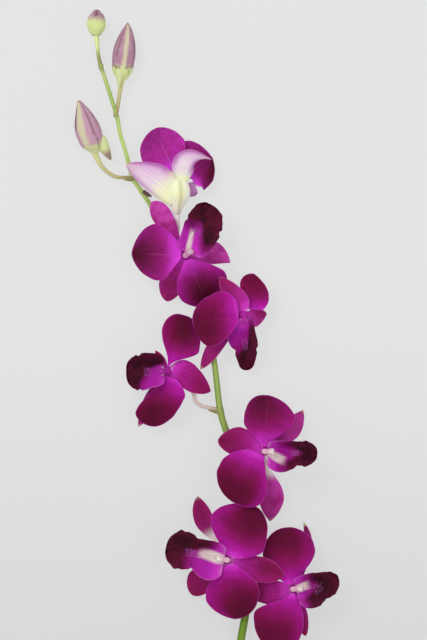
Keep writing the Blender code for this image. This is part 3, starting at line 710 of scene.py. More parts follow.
def blade_paint(tone):
    """The values of a petal's or sepal's colour at u and v."""

    def paint_at(u, v):
        far = ((u - tone.along) / tone.long) ** 2 + ((v - tone.across) / tone.wide) ** 2
        glow = tone.glow[0] * smooth_step(v, 0.2, 0.95) + tone.glow[1] * smooth_step(-v, 0.2, 0.95)
        pale = 1 - smooth_step(u, tone.pale * 0.3, tone.pale) if tone.pale else 0 * u
        return {
            "dark": tone.dark * np.exp(-far),
            "glow": glow,
            "pale": pale,
            "green": tone.green * smooth_step(u, 0.93, 1.0),
            "light": np.full_like(u, tone.light),
        }

    return paint_at


def lip_paint(tone):
    """The values of a lip's colour at u and v. dark and pale are 0 at the edge of their part."""

    def paint_at(u, v):
        left, centre, right = tone.dark
        side = smooth_step(np.abs(v), 0.0, 0.75)
        start = centre + side * np.where(v > 0, left - centre, right - centre)
        end, half, shift = tone.throat
        pale = np.minimum(end - u, (half - np.abs(v - shift * u / end)) * 0.6)
        glow = smooth_step(np.abs(v), 0.1, 0.5)
        return {"dark": u - start, "pale": pale, "glow": glow, "light": np.full_like(u, tone.light)}

    return paint_at


def smooth_path(points, steps):
    """Points on a smooth curve through the given ones, with steps to each stretch."""
    ends = [np.array(point, float) for point in points]
    ends = [2 * ends[0] - ends[1]] + ends + [2 * ends[-1] - ends[-2]]
    path = []
    for before, start, end, after in zip(ends, ends[1:], ends[2:], ends[3:]):
        for t in np.arange(steps) / steps:
            bend = 2 * before - 5 * start + 4 * end - after
            twist = 3 * start - before - 3 * end + after
            path.append(0.5 * (2 * start + (end - before) * t + bend * t**2 + twist * t**3))
    return np.array(path + [ends[-2]])


def spread_values(values, count):
    """The values eased over count places."""
    place = np.arange(count) / (count - 1) * (len(values) - 1)
    low = np.minimum(place.astype(int), len(values) - 2)
    share = place - low
    share = share * share * (3 - 2 * share)
    values = np.array(values, float)
    return values[low] * (1 - share) + values[low + 1] * share


def with_radii(points, radii, steps):
    """A smooth path and smooth radii through the given points and their radii."""
    both = smooth_path([(*point, radius) for point, radius in zip(points, radii)], steps)
    return both[:, :3], both[:, 3]


def domed(path, radii, start=0.5, end=0.5):
    """The path and radii with a dome at each end, its height a share of the end's radius."""
    angles = np.pi / 2 * np.arange(1, DOME_RINGS) / DOME_RINGS
    for share in (start, end):
        path, radii = path[::-1], radii[::-1]
        out = path[-1] - path[-2]
        out = out / np.linalg.norm(out)
        rise = np.append(np.sin(angles), 1.0) * share * radii[-1]
        dome = path[-1] + out * rise[:, None]
        path = np.concatenate((path, dome))
        radii = np.concatenate((radii, radii[-1] * np.append(np.cos(angles), DOME_POINT)))
    return path, radii


def add_tube(shape, path, radii, sides, swell=None, paint_at=None, flat_foot=False, **values):
    """Adds a closed tube. swell(along, turns) scales its radius.

    along is the share of the length. turns run round it: on a tube that runs along +Y, 0 is its
    right side and 0.25 faces up.
    """
    count = len(path)
    ahead = np.gradient(path, axis=0)
    ahead /= np.linalg.norm(ahead, axis=1, keepdims=True)
    aside = np.array((0.0, 0.0, 1.0)) if abs(ahead[0][2]) < 0.9 else np.array((0.0, 1.0, 0.0))
    across = np.cross(ahead[0], aside)
    steps = np.linalg.norm(np.diff(path, axis=0), axis=1)
    share = np.append(0.0, np.cumsum(steps)) / steps.sum()
    turns = (np.arange(sides) + 0.5) / sides
    angles = math.tau * turns
    points = []
    for i in range(count):
        across = across - ahead[i] * across.dot(ahead[i])
        across /= np.linalg.norm(across)
        up = np.cross(across, ahead[i])
        ring = np.cos(angles)[:, None] * across + np.sin(angles)[:, None] * up
        size = radii[i] * (swell(share[i], turns) if swell else np.ones(sides))
        points.append(path[i] + ring * size[:, None])
    points = np.concatenate(points + [path[:1], path[-1:]])
    if flat_foot:
        points[:, 2] = np.maximum(points[:, 2], 0.0)
    i, j = np.meshgrid(np.arange(count - 1) * sides, np.arange(sides), indexing="ij")
    k = (j + 1) % sides
    faces = np.stack((i + j, i + k, i + sides + k, i + sides + j), axis=-1).reshape(-1, 4).tolist()
    first, last, end = count * sides, count * sides + 1, (count - 1) * sides
    for j in range(sides):
        k = (j + 1) % sides
        faces.append([k, j, first])
        faces.append([end + j, end + k, last])
    along = np.append(np.repeat(share, sides), (0.0, 1.0))
    around = np.append(np.tile(turns, count), (0.25, 0.25))
    painted = paint_at(along, around) if paint_at else {}
    shape.add(points, faces, along=along, across=around, **values, **painted)


def add_rod(shape, points, radii, sides, ends=(0.5, 0.5), steps=PATH_STEPS, **details):
    """Adds a closed tube along a smooth curve through the points, with a dome at each end."""
    path, radii = domed(*with_radii(points, radii, steps), *ends)
    add_tube(shape, path, radii, sides, **details)


def add_stalk(shape, points, radii, **values):
    path = smooth_path(points, PATH_STEPS)
    add_tube(shape, path, spread_values(radii, len(path)), TUBE_SIDES, kind=1.0, **values)


class Value:
    """What a shader node gives out, with + and * and the steps that lead to the next node."""

    def __init__(self, paint, socket):
        self.paint = paint
        self.socket = socket

    def __add__(self, other):
        return self.paint.math("ADD", self, other)

    def __radd__(self, other):
        return self.paint.math("ADD", other, self)

    def __mul__(self, other):
        return self.paint.math("MULTIPLY", self, other)

    def __abs__(self):
        return self.paint.math("ABSOLUTE", self)

    def step(self, low, high):
        """0 below low, 1 above high, and smooth between. With low above high it falls."""
        ends = (high, low, 1.0, 0.0) if low > high else (low, high, 0.0, 1.0)
        inputs = dict(zip(("From Min", "From Max", "To Min", "To Max"), ends), Value=self)
        return self.paint.node("MapRange", "Result", inputs, interpolation_type="SMOOTHSTEP")

    def blend(self, start, end):
        """The colour start where this share is 0, and end where it is 1."""
        inputs = {"Factor": self, 6: start, 7: end}
        return self.paint.node("Mix", 2, inputs, data_type="RGBA")

    def tint(self, *coats):
        """This colour with others over it: each coat is its share and its colour."""
        colour = self
        for share, coat in coats:
            colour = share.blend(colour, coat)
        return colour

    def ramp(self, *stops):
        """Colours along the value: each stop is its place, and its red, green and blue."""
        colour = self.paint.node("ValToRGB", "Color", {"Fac": self})
        ramp = colour.socket.node.color_ramp
        ramp.interpolation = "EASE"
        while len(ramp.elements) < len(stops):
            ramp.elements.new(0.5)
        for element, (place, *shade) in zip(ramp.elements, stops):
            element.position = place
            element.color = (*shade, 1.0)
        return colour

    def drift(self, noise, amount):
        """The value moved up or down by noise."""
        return self + (noise + -0.5) * amount

    def lines(self, count, wander, width):
        """Thin lines at even steps of the value, each wandering a little: 1 on a line."""
        place = self * count + wander * LINE_WANDER
        return abs(self.paint.math("SINE", place * math.pi)).step(width, 0.0)


class Paint:
    """Adds shader nodes to one material and wires them as they are made."""

    def __init__(self, name):
        self.material = bpy.data.materials.new(name)
        self.material.use_nodes = True
        self.tree = self.material.node_tree
        self.main = self.tree.nodes["Principled BSDF"]
        self.where = self.node("TexCoord", "Object")

    def wire(self, value, socket):
        if isinstance(value, Value):
            self.tree.links.new(value.socket, socket)
        else:
            socket.default_value = (*value, 1.0) if socket.type == "RGBA" else value

    def node(self, kind, output, inputs=(), **settings):
        node = self.tree.nodes.new("ShaderNode" + kind)
        for name, value in settings.items():
            setattr(node, name, value)
        for name, value in dict(inputs).items():
            self.wire(value, node.inputs[name])
        return Value(self, node.outputs[output])

    def values(self, names):
        """The values of the mesh with these names."""
        return [self.node("Attribute", "Fac", attribute_name=name) for name in names.split()]

    def math(self, operation, a, b=0.0):
        return self.node("Math", 0, {0: a, 1: b}, operation=operation)

    def noise(self, scale, detail=3.0, stretch=None):
        """Noise about 0.5. scale is in features to a metre."""
        where = self.where
        if stretch:
            where = self.node("Mapping", "Vector", {"Vector": where, "Scale": stretch})
        return self.node("TexNoise", "Fac", {"Vector": where, "Scale": scale, "Detail": detail})

    def bump(self, height, distance, strength):
        inputs = {"Height": height, "Distance": distance, "Strength": strength}
        self.wire(self.node("Bump", "Normal", inputs), self.main.inputs["Normal"])

    def finish(self, colour, roughness, **settings):
        self.wire(colour, self.main.inputs["Base Color"])
        self.wire(roughness, self.main.inputs["Roughness"])
        for name, value in settings.items():
            self.wire(value, self.main.inputs[name.replace("_", " ")])
        return self.material


def velvet(paint, colour, veins, grain):
    """Shared finish of petals, sepals and lips."""
    paint.bump(veins * -0.6 + grain * 0.5, 0.00018, 0.8)
    return paint.finish(colour, 0.5 + grain * 0.2, Specular_IOR_Level=0.08)


def waxy(paint, colour, roughness, weight, scale, green=0.001):
    """Shared finish of the pieces that light shines a little way into."""
    return paint.finish(
        colour,
        roughness,
        Specular_IOR_Level=GLOSS,
        Subsurface_Weight=weight,
        Subsurface_Radius=(0.002, green, 0.001),
        Subsurface_Scale=scale,
    )


def petal_material():
    paint = Paint("petal")
    along, across, rim, light, dark = paint.values("along across rim light dark")
    glow, under = paint.values("glow under")
    cloud = paint.noise(75.0)
    grain = paint.noise(GRAIN)
    colour = along.drift(cloud, 0.24).ramp(
        (0.0, 0.8, 0.22, 0.74), (0.07, 0.64, 0.035, 0.57), (0.2, 0.46, 0.008, 0.35),
        (0.42, 0.31, 0.004, 0.145), (0.62, 0.225, 0.003, 0.072), (0.82, 0.18, 0.002, 0.05),
        (1.0, 0.15, 0.002, 0.042),
    )
    base = along.drift(cloud, 0.2).step(0.45, 0.08) * light
    mottle = paint.noise(380.0, 4.0).step(0.44, 0.7) * along.step(0.05, 0.45)
    blotch = paint.noise(110.0, 4.0).step(0.48, 0.7) * along.step(0.1, 0.6)
    wander = paint.noise(160.0, 2.0)
    fine = across.lines(16.0, wander, 0.24) * along.step(0.24, 0.5)
    veins = paint.math("MAXIMUM", across.lines(7.0, wander, 0.2), fine * 0.7)
    midrib = abs(across).step(0.07, 0.0) * along.step(0.95, 0.3)
    freckles = grain.step(0.5, 0.72) * (0.3 + light * -0.5)
    colour = colour.tint(
        # painted sheen, partly the petal's own violet: the left and right edges brighter by glow
        (glow * 0.75, GLOW),
        (light, (0.66, 0.045, 0.56)),
        (base * 4.0, (0.86, 0.07, 0.9)),
        (mottle * 0.28, (0.17, 0.002, 0.045)),
        (blotch * 0.3, (0.13, 0.002, 0.035)),
        (dark * (0.6 + cloud * 0.7), PETAL_DARK),
        (veins * along.step(0.6, 0.12) * 0.22, (0.7, 0.1, 0.62)),
        (veins * along.step(0.3, 0.7) * 0.2, (0.09, 0.001, 0.02)),
        (midrib * (0.02 + light * 0.6), (0.7, 0.16, 0.6)),
        (freckles, (0.15, 0.001, 0.025)),
        # painted sheen and highlight: a faint violet band in from the rim, and a pale line along the rim
        # itself
        (rim.step(1.4, 0.3) * 0.15, GLOW),
        (rim.step(0.36, 0.08) * 0.5, PETAL_RIM_HIGHLIGHT),
        (under * 0.45, (0.46, 0.08, 0.34)),
    )
    return velvet(paint, colour, veins + midrib, grain)


def sepal_material():
    """kind is 1 on the ovary's end behind the bloom."""
    paint = Paint("sepal")
    along, across, rim, light, dark = paint.values("along across rim light dark")
    glow, under, pale, green, kind = paint.values("glow under pale green kind")
    cloud = paint.noise(80.0)
    grain = paint.noise(GRAIN)
    colour = along.drift(cloud, 0.25).ramp(
        (0.0, 0.75, 0.26, 0.66), (0.12, 0.58, 0.03, 0.48), (0.35, 0.39, 0.009, 0.24),
        (0.7, 0.3, 0.006, 0.12), (1.0, 0.29, 0.008, 0.1),
    )
    patchy = light * paint.noise(130.0).step(0.25, 0.62)
    veins = across.lines(5.0, paint.noise(180.0, 2.0), 0.22)
    shown = veins * along.step(0.95, 0.3) * (0.2 + light * 0.7)
    freckles = grain.step(0.5, 0.72) * (0.28 + light * -0.5)
    ovary = paint.noise(220.0).blend((0.48, 0.02, 0.38), (0.4, 0.008, 0.29))
    colour = colour.tint(
        # painted sheen, partly the sepal's own violet: the left and right edges brighter by glow
        (glow * 0.7, (0.46, 0.02, 0.31)),
        (patchy * 1.15, (0.66, 0.07, 0.5)),
        (dark * (0.5 + cloud * 0.8), (0.1, 0.002, 0.026)),
        (shown, (0.78, 0.24, 0.64)),
        (freckles, (0.2, 0.002, 0.04)),
        # painted highlight: a pale line along the sepal's rim
        (rim.step(0.36, 0.08) * 0.5, (0.6, 0.16, 0.46)),
        (under * 0.5, (0.5, 0.16, 0.4)),
        (pale.drift(cloud, 0.4).step(0.05, 0.8), (0.93, 0.88, 0.8)),
        (green, TIP_GREEN),
        (kind, ovary),
    )
    return velvet(paint, colour, veins, grain)


def pale_sepal_material():
    """The half-open bloom's sepals, and its chin where kind is 1 and dark its seams."""
    paint = Paint("pale_sepal")
    along, across, rim, dark = paint.values("along across rim dark")
    glow, pale, green, kind = paint.values("glow pale green kind")
    cloud = paint.noise(110.0)
    grain = paint.noise(GRAIN)
    colour = along.drift(cloud, 0.2).ramp(
        (0.0, 0.88, 0.86, 0.7), (0.35, 0.78, 0.64, 0.75),
        (0.7, 0.72, 0.48, 0.7), (1.0, 0.64, 0.44, 0.54),
    )
    wander = paint.noise(150.0, 2.0)
    veins = across.lines(8.0, wander * 0.4, 0.7)
    streaks = across.lines(5.0, wander * 0.3, 0.9) * along.step(1.05, 0.6)
    streaks = streaks * abs(across).step(0.7, 0.1)
    blush = glow * along.step(0.12, 0.4)
    band = blush * rim.drift(cloud, 3.0).step(5.0, 0.8)
    foot = pale.drift(cloud, 0.5).drift(streaks, 0.3)
    tip = green * abs(across).step(0.9, 0.1)
    colour = colour.tint(
        (veins * 0.2, (0.62, 0.34, 0.62)),
        (streaks * 0.5, (0.84, 0.82, 0.58)),
        (blush * 0.36, (0.56, 0.2, 0.54)),
        (band * 0.85, (0.44, 0.075, 0.4)),
        (rim.step(0.3, 0.1) * 0.5, (0.8, 0.66, 0.78)),
        (foot.step(0.1, 1.1) * 0.95, YOUNG_GREEN),
        (tip * 0.6, (0.76, 0.7, 0.46)),
    )
    chin = along.drift(cloud, 0.3).ramp(
        (0.0, 0.84, 0.74, 0.7), (0.2, 0.86, 0.83, 0.66), (0.5, 0.84, 0.86, 0.53),
        (0.74, 0.87, 0.88, 0.6), (0.88, 0.86, 0.82, 0.76), (1.0, 0.82, 0.72, 0.8),
    )
    # painted light: the chin's right side, turned away from the lamps, made pale cream
    chin = chin.tint((across.step(0.2, 0.08) * 0.85, (0.95, 0.95, 0.84)))
    colour = colour.tint(
        (kind, chin),
        (dark, (0.52, 0.5, 0.2)),
        (grain.step(0.5, 0.8) * 0.12, (0.6, 0.5, 0.5)),
    )
    paint.bump(veins + grain, FINE_BUMP, 0.5)
    return waxy(paint, colour, 0.42 + grain * 0.14, 0.08, 0.6)


def lip_material():
    """kind is 1 on the fringe of the keels. glow is 0 on the middle strip."""
    paint = Paint("lip")
    along, across, rim, light = paint.values("along across rim light")
    dark, pale, under, kind = paint.values("dark pale under kind")
    cloud = paint.noise(130.0)
    grain = paint.noise(1000.0)
    stripes = across.lines(11.0, paint.noise(200.0, 2.0), 0.5)
    lobes = along.drift(cloud, 0.16).ramp(
        (0.0, 0.66, 0.26, 0.6), (0.12, 0.52, 0.03, 0.45),
        (0.3, *LIP_VIOLET), (0.8, 0.3, 0.005, 0.19),
    )
    throat = pale.drift(cloud, 0.08).step(-0.07, 0.06)
    inner = along.step(0.12, 0.4) * (0.6 + light * -0.6)
    lobes = lobes.tint(
        (light * 0.7, (0.7, 0.04, 0.64)),
        (rim.step(0.5, 0.1) * 0.4, (0.62, 0.2, 0.58)),
        (grain.step(0.5, 0.75) * 0.25, (0.2, 0.001, 0.09)),
        (throat, inner.blend(CREAM, (0.46, 0.24, 0.32))),
    )
    dark = dark.drift(cloud, 0.24).drift(stripes, 0.16)
    deep = paint.noise(90.0, 2.0).step(0.4, 0.66).blend(LIP_DARK, LIP_RED)
    deep = deep.tint(
        (rim.step(5.0, 0.4) * 0.5, LIP_DEEP_EDGE),
        (grain.step(0.45, 0.75) * 0.4, (0.02, 0.001, 0.008)),
    )
    band = dark.step(-0.14, -0.02) * dark.step(0.16, 0.02) * abs(across).step(0.26, 0.06)
    colour = lobes.tint(
        (dark.step(-0.2, 0.0) * 0.7, (0.22, 0.002, 0.1)),
        (dark.step(-0.08, 0.1), deep),
        (band * (stripes * 0.5), LAVENDER),
        (under * 0.35, (0.34, 0.04, 0.24)),
        (kind, LAVENDER),
        (light.step(0.9, 1.0) * 0.9, (0.64, 0.3, 0.64)),
    )
    return velvet(paint, colour, stripes * (1.0 + throat * -1.0), grain)


def column_material():
    """kind is 1 on the anther cap, and pale runs from magenta to cream."""
    paint = Paint("column")
    along, kind, pale, dark = paint.values("along kind pale dark")
    cloud = paint.noise(300.0)
    colour = along.ramp((0.0, 0.78, 0.48, 0.6), (0.5, 0.8, 0.54, 0.6), (1.0, 0.8, 0.6, 0.58))
    spots = paint.noise(1000.0, 2.0).step(0.56, 0.7)
    colour = colour.tint(
        (kind, (spots * 0.3).blend((0.86, 0.74, 0.7), (0.6, 0.16, 0.3))),
        (cloud * 0.2, (0.7, 0.36, 0.54)),
    )
    # dark: painted shade in the slit over the stigma, and the dark spots on the cap
    colour = pale.blend((0.4, 0.01, 0.3), colour).tint((dark, (0.16, 0.004, 0.03)))
    paint.bump(cloud, 0.0001, 0.4)
    return waxy(paint, colour, 0.36 + cloud * 0.15, 0.1, 0.5)


def bud_material():
    """pale is the stripe down a sepal, dark the seams, green the foot, and kind the spur.

    glow is 1 on the flanks, where the purple is darkened as painted shade, rim how ragged the
    foot's edge is, and light how pale the purple and how fresh the spur's tip is.
    """
    paint = Paint("bud")
    along, across, rim, light, dark = paint.values("along across rim light dark")
    glow, pale, green, kind = paint.values("glow pale green kind")
    cloud = paint.noise(140.0, 4.0)
    fibre = paint.noise(700.0, stretch=(1.0, 0.14, 1.0))
    purple = fibre.blend((0.28, 0.12, 0.2), (0.48, 0.25, 0.35))
    purple = purple.tint(
        (cloud.step(0.45, 0.7), (0.45, 0.23, 0.34)),
        (light, (0.6, 0.34, 0.46)),
        # painted shade: the round bud's flanks darker, where they turn away from the light
        (glow * 0.7, (0.17, 0.07, 0.09)),
    )
    ribs = across.lines(34.0, paint.noise(200.0, 2.0), 0.5)
    body = purple.tint(
        (ribs * 0.16, (0.24, 0.08, 0.16)),
        (pale.drift(fibre, 0.4).step(0.1, 0.95), (0.62, 0.56, 0.38)),
    )
    foot = green.drift(cloud, 0.5) + (fibre + -0.5) * (rim * 1.6)
    fresh = cloud.blend((0.56, 0.66, 0.2), (0.76, 0.84, 0.4))
    fresh = fresh.tint((light * 0.6, (0.6, 0.56, 0.38)))
    body = body.tint(
        (foot.step(0.0, 1.0), fresh),
        (dark, (0.12, 0.05, 0.035)),
        (along.step(0.94, 1.0), (0.28, 0.22, 0.14)),
    )
    tip = along.drift(cloud, 0.3).step(0.5, 0.8) * (1.0 + light * -1.0)
    colour = body.tint((kind, tip.blend((0.68, 0.72, 0.36), (0.36, 0.25, 0.2))))
    paint.bump(fibre + ribs, FINE_BUMP, 0.5)
    return waxy(paint, colour, 0.4 + fibre * 0.2, 0.05, 0.5, 0.0015)


def stem_material():
    """kind is 0 on the rachis, 1 on a flower stalk and 2 on a bract. dark marks the joints."""
    paint = Paint("stem")
    along, across, kind, dark, pale, light = paint.values("along across kind dark pale light")
    fibre = paint.noise(GRAIN, stretch=(1.0, 0.08, 1.0))
    cloud = paint.noise(90.0)
    green = along.drift(cloud, 0.04).ramp(
        (0.0, 0.08, 0.17, 0.01), (0.3, 0.1, 0.21, 0.012), (0.6, 0.17, 0.28, 0.035),
        (0.78, 0.36, 0.5, 0.11), (0.86, 0.5, 0.62, 0.2), (0.92, 0.3, 0.42, 0.09),
        (1.0, 0.68, 0.82, 0.3),
    )
    # painted highlight: a lighter green strip along the top of the stem, where the light falls
    lit = abs(across + -0.25).step(0.2, 0.02)
    highlight_green = along.ramp(
        (0.2, 0.2, 0.34, 0.015), (0.6, 0.5, 0.58, 0.18),
        (0.9, 0.46, 0.62, 0.18), (1.0, 0.76, 0.86, 0.4),
    )
    scar = abs(along + -0.966).step(0.022, 0.004)
    green = green.tint(
        (lit * 0.5, highlight_green),
        (fibre.step(0.45, 0.8) * 0.3, (0.14, 0.22, 0.03)),
        (scar * 0.75, (0.22, 0.2, 0.08)),
        (dark * 0.35, (0.26, 0.27, 0.09)),
    )
    stalk = along.ramp((0.0, 0.3, 0.21, 0.09), (0.4, 0.5, 0.45, 0.2), (1.0, 0.66, 0.7, 0.3))
    pink = along.ramp((0.0, 0.4, 0.34, 0.2), (0.3, 0.62, 0.5, 0.46), (1.0, 0.8, 0.74, 0.66))
    stalk = stalk.tint(
        (pale, pink),
        (cloud * 0.25, (0.46, 0.32, 0.26)),
        (light * 0.9, (0.97, 0.94, 0.88)),
    )
    papery = fibre.blend((0.3, 0.28, 0.1), (0.19, 0.14, 0.07))
    papery = papery.tint((pale, (0.14, 0.07, 0.07)), (light, (0.34, 0.38, 0.12)))
    colour = green.tint((kind.step(0.0, 1.0), stalk), (kind.step(1.0, 2.0), papery))
    paint.bump(fibre, FINE_BUMP, 0.6)
    return paint.finish(colour, 0.38 + fibre * 0.2, Specular_IOR_Level=GLOSS)


def hooked(surface):
    """The surface with its right edge drawn into a hook that points towards the stem."""

    def shaped(u, v):
        point = surface(u, v)
        near = hump(u, 0.4, 0.08) * smooth_step(-v, 0.45, 1.0)
        point[..., :2] += near[..., None] * np.array(HOOK_PULL)
        return point

    return shaped


def add_blade(shape, surface, blade, start, grid, tone):
    add_sheet(
        shape,
        surface,
        blade.reach,
        lambda u, v: blade_width(blade, u, v)[0],
        start / blade.reach,
        grid,
        blade_paint(tone),
    )


def make_petals(number, bloom, material):
    for index, blade in enumerate(bloom.petals):
        shape = Shape()
        surface = blade_surface(bloom, blade, PETAL_DROP, PETAL_WAVE, number + index)
        if (number, index) == HOOKED_PETAL:
            surface = hooked(surface)
        add_blade(shape, surface, blade, CLAW_START, PETAL_GRID, PETAL_TONES[number][index])
        shape.build(f"bloom_{number}_petal_{('left', 'right')[index]}", material)


def make_sepals(number, bloom, material):
    shape = Shape()
    for index, blade in enumerate(bloom.sepals):
        surface = blade_surface(bloom, blade, SEPAL_DROP, SEPAL_WAVE, number + 2 * index)
        add_blade(shape, surface, blade, SEPAL_START, SEPAL_GRID, SEPAL_TONES[number][index])
    if number == HALF_OPEN:
        details = {"swell": chin_swell, "paint_at": chin_paint, "kind": 1.0}
        add_rod(shape, *zip(*OPENING_CHIN), BUD_SIDES, CHIN_ENDS, **details)
    else:
        start = np.array(bloom.pedicel[-1])
        end = centre_under(bloom, RECEPTACLE_TOP)
        step = start - np.array(bloom.pedicel[-2])
        start = start + step / np.linalg.norm(step) * SEAT_GAP
        below = end - (0, 0, RECEPTACLE_RIM)
        points = (start, (start + below) / 2, below, end)
        add_tube(shape, *with_radii(points, RECEPTACLE_RADII, PATH_STEPS), TUBE_SIDES, kind=1.0)
    shape.build(f"bloom_{number}_sepals", material)


def chin_seams(along, turns):
    """How near a place is to the seam where the lateral sepals meet."""
    return hump(turns - 0.17 - 0.06 * along, 0.0, 0.032)


def chin_swell(along, turns):
    return 1 - CHIN_SEAMS * chin_seams(along, turns)


def chin_paint(along, turns):
    return {"dark": 0.6 * chin_seams(along, turns) * smooth_step(-along, -0.98, -0.7)}


def make_lip(number, bloom, material):
    """The half-open bloom's lip is only a stump: calmer, without a fringe, and lilac."""
    lip, tone = bloom.lip, LIP_TONES[number]
    start, ruffle, kind = LIP_START, LIP_RUFFLE, 0.0
    if number == HALF_OPEN:
        start, ruffle, kind = SEPAL_START, STUMP_RUFFLE, STUMP_LILAC
    shape = Shape()
    surface = lip_surface(bloom, lip, ruffle, number)
    add_sheet(
        shape,
        surface,
        lip.reach,
        lambda u, v: np.full_like(u, max(lip.mid)),
        start / lip.reach,
        LIP_GRID,
        lip_paint(tone),
        kind,
    )
    if number != HALF_OPEN:
        add_fringe(shape, surface, tone, number)
    shape.build(f"bloom_{number}_lip", material)


def add_fringe(shape, surface, tone, seed):
    """Small soft teeth along the keels, rooted in the lip and leaning outwards."""
    draw = np.random.default_rng(seed)
    stray_u, stray_v = FRINGE_STRAY
    for keel in FRINGE_KEELS:
        for place in np.linspace(*tone.fringe, FRINGE_TEETH):
            u = np.array([place + draw.uniform(-stray_u, stray_u)])
            v = np.array([tone.keels + keel + draw.uniform(-stray_v, stray_v)])
            root = surface(u, v)[0]
            lean = surface(u + 0.05, v + np.sign(keel) * 0.03)[0] - root
            tip = root + lean * draw.uniform(*FRINGE_LEAN)
            tip[2] += draw.uniform(*FRINGE_RISE)
            path = np.array((root - (0, 0, FRINGE_ROOT), (root + tip) / 2, tip))
            add_tube(shape, path, FRINGE_RADII, FRINGE_SIDES, kind=1.0)


def make_column(number, bloom, material):
    turn, reach, rise = bloom.column
    pale = COLUMN_TONES[number]
    foot = centre_under(bloom, RECEPTACLE_TOP) + (0, 0, SEAT_GAP) + bloom.column_shift
    end = foot + heading(turn) * reach + (0, 0, rise)
    base = foot + (0, 0, rise * 0.25)
    middle = foot * 0.5 + end * 0.5 - heading(turn) * COLUMN_HOLLOW
    spine = (foot, base, middle, end * 0.8 + middle * 0.2, end)
    shape = Shape()
    add_rod(shape, spine, COLUMN_RADII, TUBE_SIDES, COLUMN_ENDS, swell=column_swell, pale=pale)
    lean = (end - middle) / np.linalg.norm(end - middle)
    spine = [end + lean * at for at in CAP_PLACES]
    details = {"swell": cap_swell, "paint_at": cap_paint, "kind": 1.0, "pale": pale}
    add_rod(shape, spine, CAP_RADII, TUBE_SIDES, COLUMN_ENDS, CAP_STEPS, **details)
    shape.build(f"bloom_{number}_column", material)


def column_swell(along, turns):
    """Two low wings along the pillar."""
    return 1 + PILLAR_WINGS * np.cos(2 * math.tau * turns) * math.sin(math.pi * along)


def cap_swell(along, turns):
    """The groove between the two halves of the anther cap."""
    return 1 - CAP_GROOVES * hump(turns, 0.25, 0.03)


def cap_paint(along, turns):
    """Painted shade in the slit on the cap's far side, over the stigma, and a dark spot on each half."""
    slit = hump(turns, 0.75, 0.08) * smooth_step(along, 0.3, 0.6)
    spots = sum(hump(turns, at, 0.035) for at in (0.13, 0.37)) * hump(along, 0.72, 0.09)
    return {"dark": 0.8 * np.minimum(slit + spots, 1.0)}


def make_bud(number, bud, material):
    tone = BUD_TONES[number]
    shape = Shape()
    details = {"swell": bud_swell(tone), "paint_at": bud_paint(tone), "flat_foot": True}
    add_rod(shape, bud.spine, bud.radii, BUD_SIDES, BUD_ENDS, **details)
    root, tip = (np.array(point) for point in bud.spur)
    radii = [radius * bud.girth for radius in SPUR_RADII]
    fresh = 1.0 if number == FRESH_SPUR else 0.0
    spine = (root, (root + tip) / 2, tip)
    add_rod(shape, spine, radii, TUBE_SIDES, SPUR_ENDS, kind=1.0, light=fresh)
    shape.build(f"bud_{number}", material)


def bud_seams(tone, along, turns):
    """How near a place is to the seams between the folded sepals, which lean to the tip."""
    near = 0.0
    for at, start, end, strength, width in tone.seams:
        away = turns - at - (0.25 - at) * 0.3 * along
        shown = smooth_step(along, start - 0.03, start + 0.03)
        shown = shown * smooth_step(-along, -end, 0.06 - end)
        near = near + strength * hump(away, 0.0, width) * shown
    return near


def collar(tone, along, turns):
    """How near a place is to the line where the sepals leave the foot, but for its middle."""
    away = np.abs(turns - 0.25)
    near = hump(along, tone.foot * (0.86 + 1.6 * away), 0.016)
    return tone.collar * near * smooth_step(away, 0.02, 0.05)


def bud_swell(tone):
    return lambda along, turns: 1 - BUD_SEAMS * bud_seams(tone, along, turns)


def bud_paint(tone):
    """The values of a bud's colour along it and round it."""

    def paint_at(along, turns):
        stripe = 0 * turns
        if tone.half:
            stripe = hump(turns, tone.stripe, tone.half * (1 + 1.2 * along**4))
        # the bud's flanks, which its material darkens as painted shade
        flanks = smooth_step(np.abs(np.cos(math.tau * turns)), 0.7, 1.0)
        return {
            "pale": stripe,
            "light": 0 * turns + tone.light,
            "rim": 0 * turns + tone.ragged,
            "dark": np.minimum(bud_seams(tone, along, turns) + collar(tone, along, turns), 1.0),
            "green": 1 - smooth_step(along, tone.foot * 0.6, tone.foot * 1.4),
            "glow": flanks * smooth_step(along, 0.2, 0.7),
        }

    return paint_at


def make_stem(material):
    shape = Shape()
    path = smooth_path(RACHIS, PATH_STEPS)
    joints = [place for place, turn, length in BRACTS]
    joints += [bloom.pedicel[0] for bloom in BLOOMS.values()]
    near = np.min([np.linalg.norm(path - np.array(place), axis=1) for place in joints], axis=0)
    radii = spread_values(RACHIS_RADII, len(path))
    radii = radii * (1 + JOINT_SWELL * hump(near, 0.0, JOINT_SPREAD))
    share = np.linspace(0, 1, len(path))
    radii = radii * (1 + TIP_FLARE * smooth_step(share, FLARE_START, 1.0))
    add_tube(
        shape,
        path,
        radii,
        TUBE_SIDES,
        lambda along, turns: 1 + STEM_RIDGES * np.cos(RIDGE_COUNT * math.tau * turns),
        flat_foot=True,
        dark=np.append(np.repeat(hump(near, 0.0, JOINT_MARK), TUBE_SIDES), (0, 0)),
    )
    for number, bloom in BLOOMS.items():
        pale = 1.0 if number in PALE_PEDICELS else STALK_PINK
        light = 1.0 if number == HALF_OPEN else 0.0
        add_stalk(shape, bloom.pedicel, PEDICEL_RADII, pale=pale, light=light)
    for points in BUD_PEDICELS:
        add_stalk(shape, points, BUD_PEDICEL_RADII)
    for index, (place, turn, length) in enumerate(BRACTS):
        start = np.array(place)
        tip = start + heading(turn) * length
        points = (start, (start + tip) / 2, tip)
        old = 1.0 if index == OLD_BRACT else 0.0
        young = 1.0 if index in YOUNG_BRACTS else 0.0
        details = {"steps": BRACT_STEPS, "kind": 2.0, "pale": old, "light": young}
        add_rod(shape, points, BRACT_RADII, TUBE_SIDES, **details)
    shape.build("stem", material)


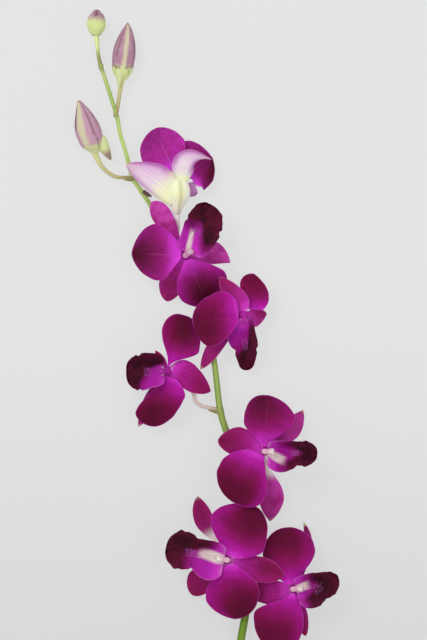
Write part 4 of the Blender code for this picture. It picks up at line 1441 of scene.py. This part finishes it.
def make_camera():
    x = (PHOTO_SIZE[0] / 2 - ORIGIN_PIXEL[0]) * PIXEL - MIDDLE[0]
    y = (ORIGIN_PIXEL[1] - PHOTO_SIZE[1] / 2) * PIXEL - MIDDLE[1]
    data = bpy.data.cameras.new("camera")
    data.sensor_width = SENSOR
    data.lens = SENSOR * CAMERA_HEIGHT / (PHOTO_SIZE[1] * PIXEL)
    data.clip_start, data.clip_end = CAMERA_RANGE
    camera = add_object("camera", data)
    camera.location = (x * MM, y * MM, CAMERA_HEIGHT * MM)
    bpy.context.scene.camera = camera


def make_floor():
    """A pale floor that glows a little, which keeps the shadows on it faint."""
    paint = Paint("floor")
    shade = paint.noise(6.0).blend((0.12, 0.12, 0.12), (0.13, 0.13, 0.13))
    place_y = paint.node("SeparateXYZ", "Y", {"Vector": paint.where})
    strength = FLOOR_GLOW + place_y.step(*GLOW_PLACES) * GLOW_CHANGE
    emission = {"Emission_Color": (1.0, 1.0, 1.0), "Emission_Strength": strength}
    paint.finish(shade, 0.9, Specular_IOR_Level=0.0, **emission)
    mesh = bpy.data.meshes.new("floor")
    corners = [(-1, -1), (1, -1), (1, 1), (-1, 1)]
    points = [(x * FLOOR_HALF, y * FLOOR_HALF, FLOOR_LEVEL) for x, y in corners]
    mesh.from_pydata(points, [], [(0, 1, 2, 3)])
    mesh.materials.append(paint.material)
    add_object("floor", mesh)


def add_light(name, place, size, power):
    data = bpy.data.lights.new(name, "AREA")
    data.shape = "DISK"
    data.size = size
    data.energy = power
    light = add_object(name, data)
    light.location = place
    light.rotation_euler = (-Vector(place)).to_track_quat("-Z", "Y").to_euler()


def make_lights():
    world = bpy.data.worlds.new("studio")
    world.use_nodes = True
    background = world.node_tree.nodes["Background"]
    background.inputs["Color"].default_value = (1.0, 1.0, 1.0, 1.0)
    background.inputs["Strength"].default_value = ROOM_LIGHT
    bpy.context.scene.world = world
    bpy.context.scene.view_settings.view_transform = "Standard"
    for light in LIGHTS:
        add_light(*light)


def main():
    petal, sepal, pale = petal_material(), sepal_material(), pale_sepal_material()
    lip, column, bud = lip_material(), column_material(), bud_material()
    for number, bloom in BLOOMS.items():
        make_petals(number, bloom, petal)
        if number == HALF_OPEN:
            make_sepals(number, bloom, pale)
        else:
            make_sepals(number, bloom, sepal)
        make_lip(number, bloom, lip)
        make_column(number, bloom, column)
    for number, shown in BUDS.items():
        make_bud(number, shown, bud)
    make_stem(stem_material())
    make_floor()
    make_lights()
    make_camera()


main()
